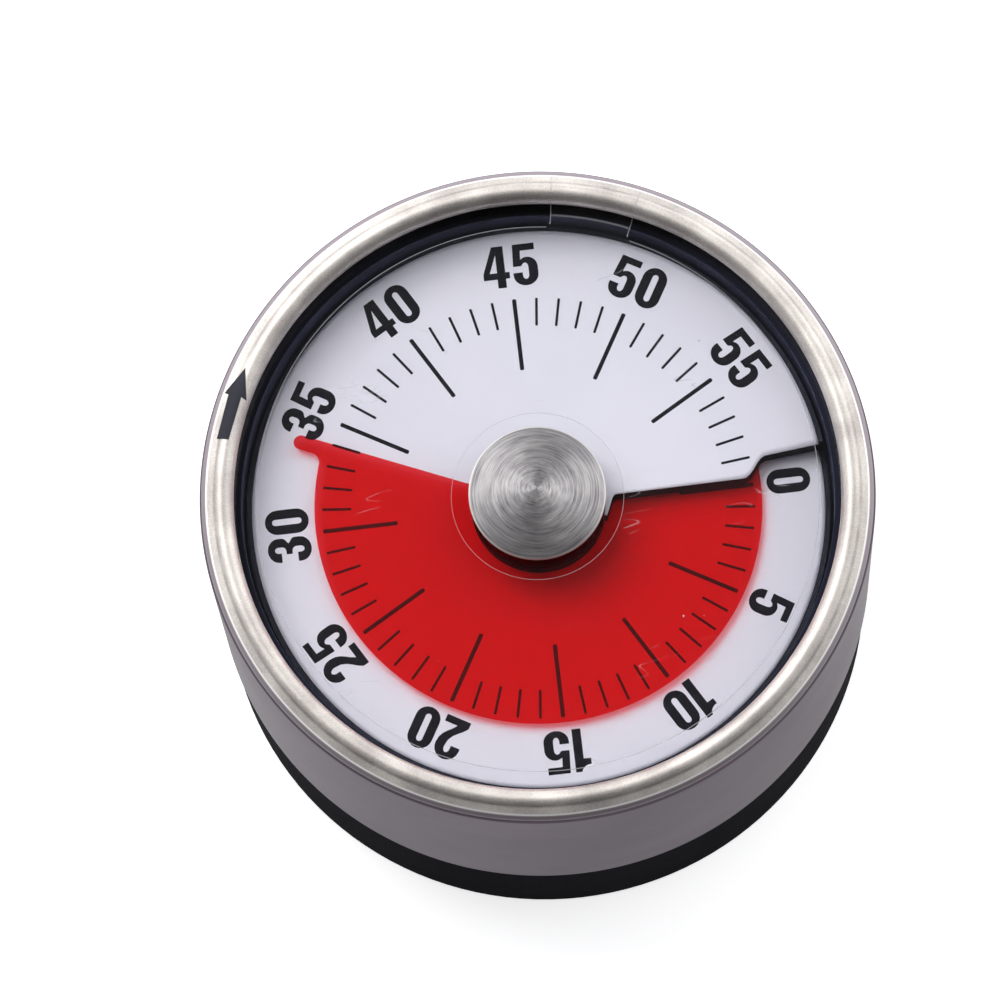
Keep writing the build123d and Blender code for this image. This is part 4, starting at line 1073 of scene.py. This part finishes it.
FILM_BODY_SHARE = 0.04
film_finish, tree, shader = new_material("red_film_clear", Specular_IOR_Level=0.3)
marks = place_group(tree, grain, Size=0.4, Patch_Size=6.0)
specks = place_group(tree, dust, Spacing=2.4, Share=0.25, Size=0.03)
body_tone = blend_colours(tree, marks["Patches"], (190, 20, 30), (205, 28, 38))
body_tone = blend_colours(
    tree, scaled(tree, specks["Speck"], 0.5), body_tone, (235, 150, 150))
feed(tree, shader, Base_Color=body_tone, Roughness=scaled(tree, marks["Grain"], 0.12, 0.3))
filtered = add(tree, "BsdfTransparent", {"Color": (0.955, 0.2, 0.23, 1)})
mixed = add(tree, "MixShader", {0: FILM_BODY_SHARE, 1: filtered.outputs[0], 2: shader.outputs[0]})
show(tree, mixed.outputs[0])
wear((film, film_finish))
print("sheet finishes are on")

# %% [markdown]
# ## Clear plastic
# The lens is glass-clear. Light from lamps must pass it without caustics, so rays that look
# for a lamp meet a Transparent shader instead, and the dial below is lit evenly. The
# protective film is nearly invisible: painted highlights as thin pale lines at its cut edges and
# the bend of its tab, dust, and a few long scratches, all through Alpha.

# %% Lens finish
lens_finish, tree, shader = new_material(
    "lens_clear_plastic", Base_Color=(1, 1, 1, 1), Roughness=0.0, IOR=1.45)
shader.inputs["Transmission Weight"].default_value = 1.0
smears = place_group(tree, grain, Size=0.5, Patch_Size=5.0)
feed(tree, shader, Roughness=ramp(tree, smears["Patches"], [(0.45, 0.0), (0.8, 0.03)]))
passing = add(tree, "BsdfTransparent", {"Color": (0.96, 0.96, 0.97, 1)})
shadow_ray = add(tree, "LightPath").outputs["Is Shadow Ray"]
mixed = add(tree, "MixShader", {0: shadow_ray, 1: shader.outputs[0], 2: passing.outputs[0]})
show(tree, mixed.outputs[0])
wear((lens, lens_finish))

# %% Protective film finish
TAB_MID_R = 27.0        # where the tab's degrees are counted as millimetres
peel_finish, tree, shader = new_material("protective_film_clear", Specular_IOR_Level=0.6)
flat, radius_mm = radius_in_mm(tree)
specks = place_group(tree, dust, Spacing=2.2, Share=0.4, Size=0.06)
stretched = add(tree, "Mapping", {
    "Vector": flat, "Rotation": (0, 0, 0.6), "Scale": (0.22, 0.9, 1)})
streak = noise(tree, stretched.outputs[0], 0.6, 1.5, 0.4)[0]
scratch = ramp(tree, streak, [(0.494, 0.0), (0.5, 1.0), (0.506, 0.0)])
gaps = noise(tree, flat, 0.16, 3.0)[0]
scratch = scaled(tree, scratch, ramp(tree, gaps, [(0.6, 0.0), (0.66, 1.0)]))
parts = add(tree, "SeparateXYZ", {0: flat}).outputs
turn = scaled(tree, maths(tree, "ARCTAN2", parts[1], parts[0]), math.degrees(1))
off_middle = maths(tree, "ABSOLUTE", maths(tree, "SUBTRACT", turn, (TAB_FROM + TAB_TO) / 2))
off_side = maths(tree, "SUBTRACT", off_middle, (TAB_TO - TAB_FROM) / 2)


def near_line(distance, width):
    """Soft line where a distance in millimetres is nought."""
    return ramp(tree, maths(tree, "ABSOLUTE", distance), [(width * 0.5, 1.0), (width, 0.0)])


# Painted highlights: pale lines along the rim, the hole, the sides of the tab and its bend stand in
# for the glint of the cut edges.
off_rim = maths(tree, "SUBTRACT", radius_mm, PEEL_R)
rim = scaled(tree, near_line(off_rim, 0.08), maths(tree, "GREATER_THAN", off_side, 0.8))
hole = near_line(maths(tree, "SUBTRACT", radius_mm, PEEL_HOLE), 0.05)
past_root = maths(tree, "GREATER_THAN", off_rim, 0.3)
side = near_line(scaled(tree, off_side, math.radians(TAB_MID_R)), 0.09)
side = scaled(tree, side, past_root)
fold = scaled(tree, near_line(maths(tree, "SUBTRACT", off_rim, 1.1), 0.12), 0.35)
alpha = maths(tree, "MAXIMUM", scaled(tree, specks["Speck"], 0.75), scaled(tree, scratch, 0.15))
edges = maths(tree, "MAXIMUM", maths(tree, "ADD", rim, hole), maths(tree, "ADD", side, fold))
alpha = maths(tree, "MAXIMUM", alpha, scaled(tree, edges, 0.38))
feed(tree, shader, Alpha=maths(tree, "MAXIMUM", alpha, 0.003),
     Base_Color=blend_colours(tree, gaps, (215, 215, 222), (245, 245, 250)),
     Roughness=scaled(tree, gaps, 0.2, 0.1))
wear((peel, peel_finish))
print("clear finishes are on")

# %% [markdown]
# ## Finishes inside the case
# The movement is closed in, but the case can be opened, so its parts get the finishes
# they have: zinc-plated steel plates and arbors, brass wheels, blued spring steel and a black
# carrier. The magnet under the base is a sintered ferrite, dull and slightly rough.

# %% Finish every node that stays
slot_finish = {
    "wheel_brass": steel(
        "wheel_brass", (176, 140, 66), (214, 180, 104), 0.30, 6.0, 2.0, 0.003, 0.3),
    "plate_steel": steel(
        "plate_zinc_steel", (150, 152, 154), (196, 198, 199), 0.38, 3.0, 3.0, 0.003, 0.2),
    "arbor_steel": steel(
        "arbor_steel", (136, 136, 138), (190, 190, 190), 0.28, 9.0, 9.0, 0.003, 0.4),
    "bell_steel": steel(
        "bell_steel_plated", (168, 166, 160), (214, 212, 206), 0.22, 5.0, 5.0, 0.003, 0.4),
    "spring_steel": steel(
        "spring_blued_steel", (58, 66, 84), (92, 98, 112), 0.30, 2.0, 7.0, 0.003, 0.5),
    "carrier_plastic": plastic(
        "carrier_black_plastic", (33, 35, 48), (42, 44, 58), 0.5, gloss=0.15),
    "magnet": plastic("magnet_ferrite", (44, 43, 44), (60, 58, 58), 0.62, 0.5, 0.02),
    "black_plastic": base_plastic, "screw_steel": screw_finish, "dial_sheet": dial_finish,
    "shell_steel": shell_wall_painted_dark, "liner_plastic": liner_finish, "lens_clear": lens_finish,
    "peel_film": peel_finish, "knob_steel": knob_face, "hub_plastic": hub_finish,
    "red_film": film_finish}
for name, node in nodes.items():
    for holder in node.material_slots:
        holder.material = slot_finish[holder.material.name.split(".")[0]]
print("finishes on", len(nodes), "nodes of the solid model")

# %% [markdown]
# ## Floor and light
# The timer stands on a plain white floor among broad soft lamps, as on a packshot table.
# The lamp from the upper left throws the shadows of the slit and the film, and those on the
# right and behind soften them. The sky is dark overhead, where the flat lens would mirror it
# over the dial, and brightens to low panels at the sides, which model the steel. A ray to
# the dial and on to a lamp crosses up to ten clear faces, more than Cycles allows unless it
# is told to.

# %% Lay the floor
FLOOR_GLOW = 0.72
FLOOR_GAP = 0.00005     # metres, and keeps the floor off the face of the underside
bm = bmesh.new()
bmesh.ops.create_grid(bm, x_segments=1, y_segments=1, size=3.0)
floor = placed("floor", mesh_of(bm, "floor"))
floor.location.z = -FLOOR_GAP
floor_finish, tree, shader = new_material("floor_white", Roughness=0.8)
shader.inputs["Base Color"].default_value = (0.86, 0.86, 0.86, 1)
path = add(tree, "LightPath").outputs
seen = maths(tree, "MAXIMUM", path["Is Camera Ray"], maths(
    tree, "MAXIMUM", path["Is Glossy Ray"], path["Is Transmission Ray"]))
glow = add(tree, "Emission", {"Strength": scaled(tree, seen, FLOOR_GLOW)})
show(tree, add(tree, "AddShader", {0: shader.outputs[0], 1: glow.outputs[0]}).outputs[0])
wear((floor, floor_finish))

# %% Hang the lamps
def softbox(name, size, spot, power, aim=(0, 0, 0.02)):
    lamp = bpy.data.lights.new(name, "AREA")
    lamp.shape = "DISK"
    lamp.size = size
    lamp.energy = power
    made = placed(name, lamp)
    made.location = spot
    made.rotation_euler = (Vector(aim) - Vector(spot)).to_track_quat("-Z", "Y").to_euler()
    print(name, "at", spot)


softbox("left_lamp", 1.0, (-0.5, 0.66, 1.2), 10.3)
softbox("right_lamp", 1.3, (1.0, 0.45, 0.95), 5.6)
softbox("back_lamp", 1.2, (0.1, 1.4, 0.5), 2.0)
SKY_TOP, SKY_EDGE, PANELS = 0.06, 0.5, 3.5
world = bpy.data.worlds.new("studio")
world.use_nodes = True
tree = world.node_tree
sky = tree.nodes["Background"]
sky.inputs["Color"].default_value = (0.93, 0.94, 1.0, 1)
towards = add(tree, "SeparateXYZ", {0: add(tree, "TexCoord").outputs["Generated"]}).outputs
sideways_share = ramp(tree, maths(tree, "ABSOLUTE", towards[0]), [(0.12, 0.0), (0.42, 1.0)])
behind_share = maths(tree, "POWER", maths(tree, "MAXIMUM", towards[1], 0.0), 2.0)
sideways_share = scaled(tree, sideways_share, ramp(
    tree, scaled(tree, towards[1], 0.5, 0.5), [(0.2, 0.1), (0.5, 1.0)]))
lit = scaled(tree, maths(tree, "ADD", sideways_share, behind_share), SKY_EDGE - SKY_TOP)
low = ramp(tree, towards[2], [(0.08, 1.0), (0.3, 0.0)])
feed(tree, sky, Strength=scaled(tree, lit, scaled(tree, low, PANELS, 1.0), SKY_TOP))
bpy.context.scene.world = world
bpy.context.scene.view_settings.view_transform = "Standard"
bpy.context.scene.cycles.transparent_max_bounces = 24
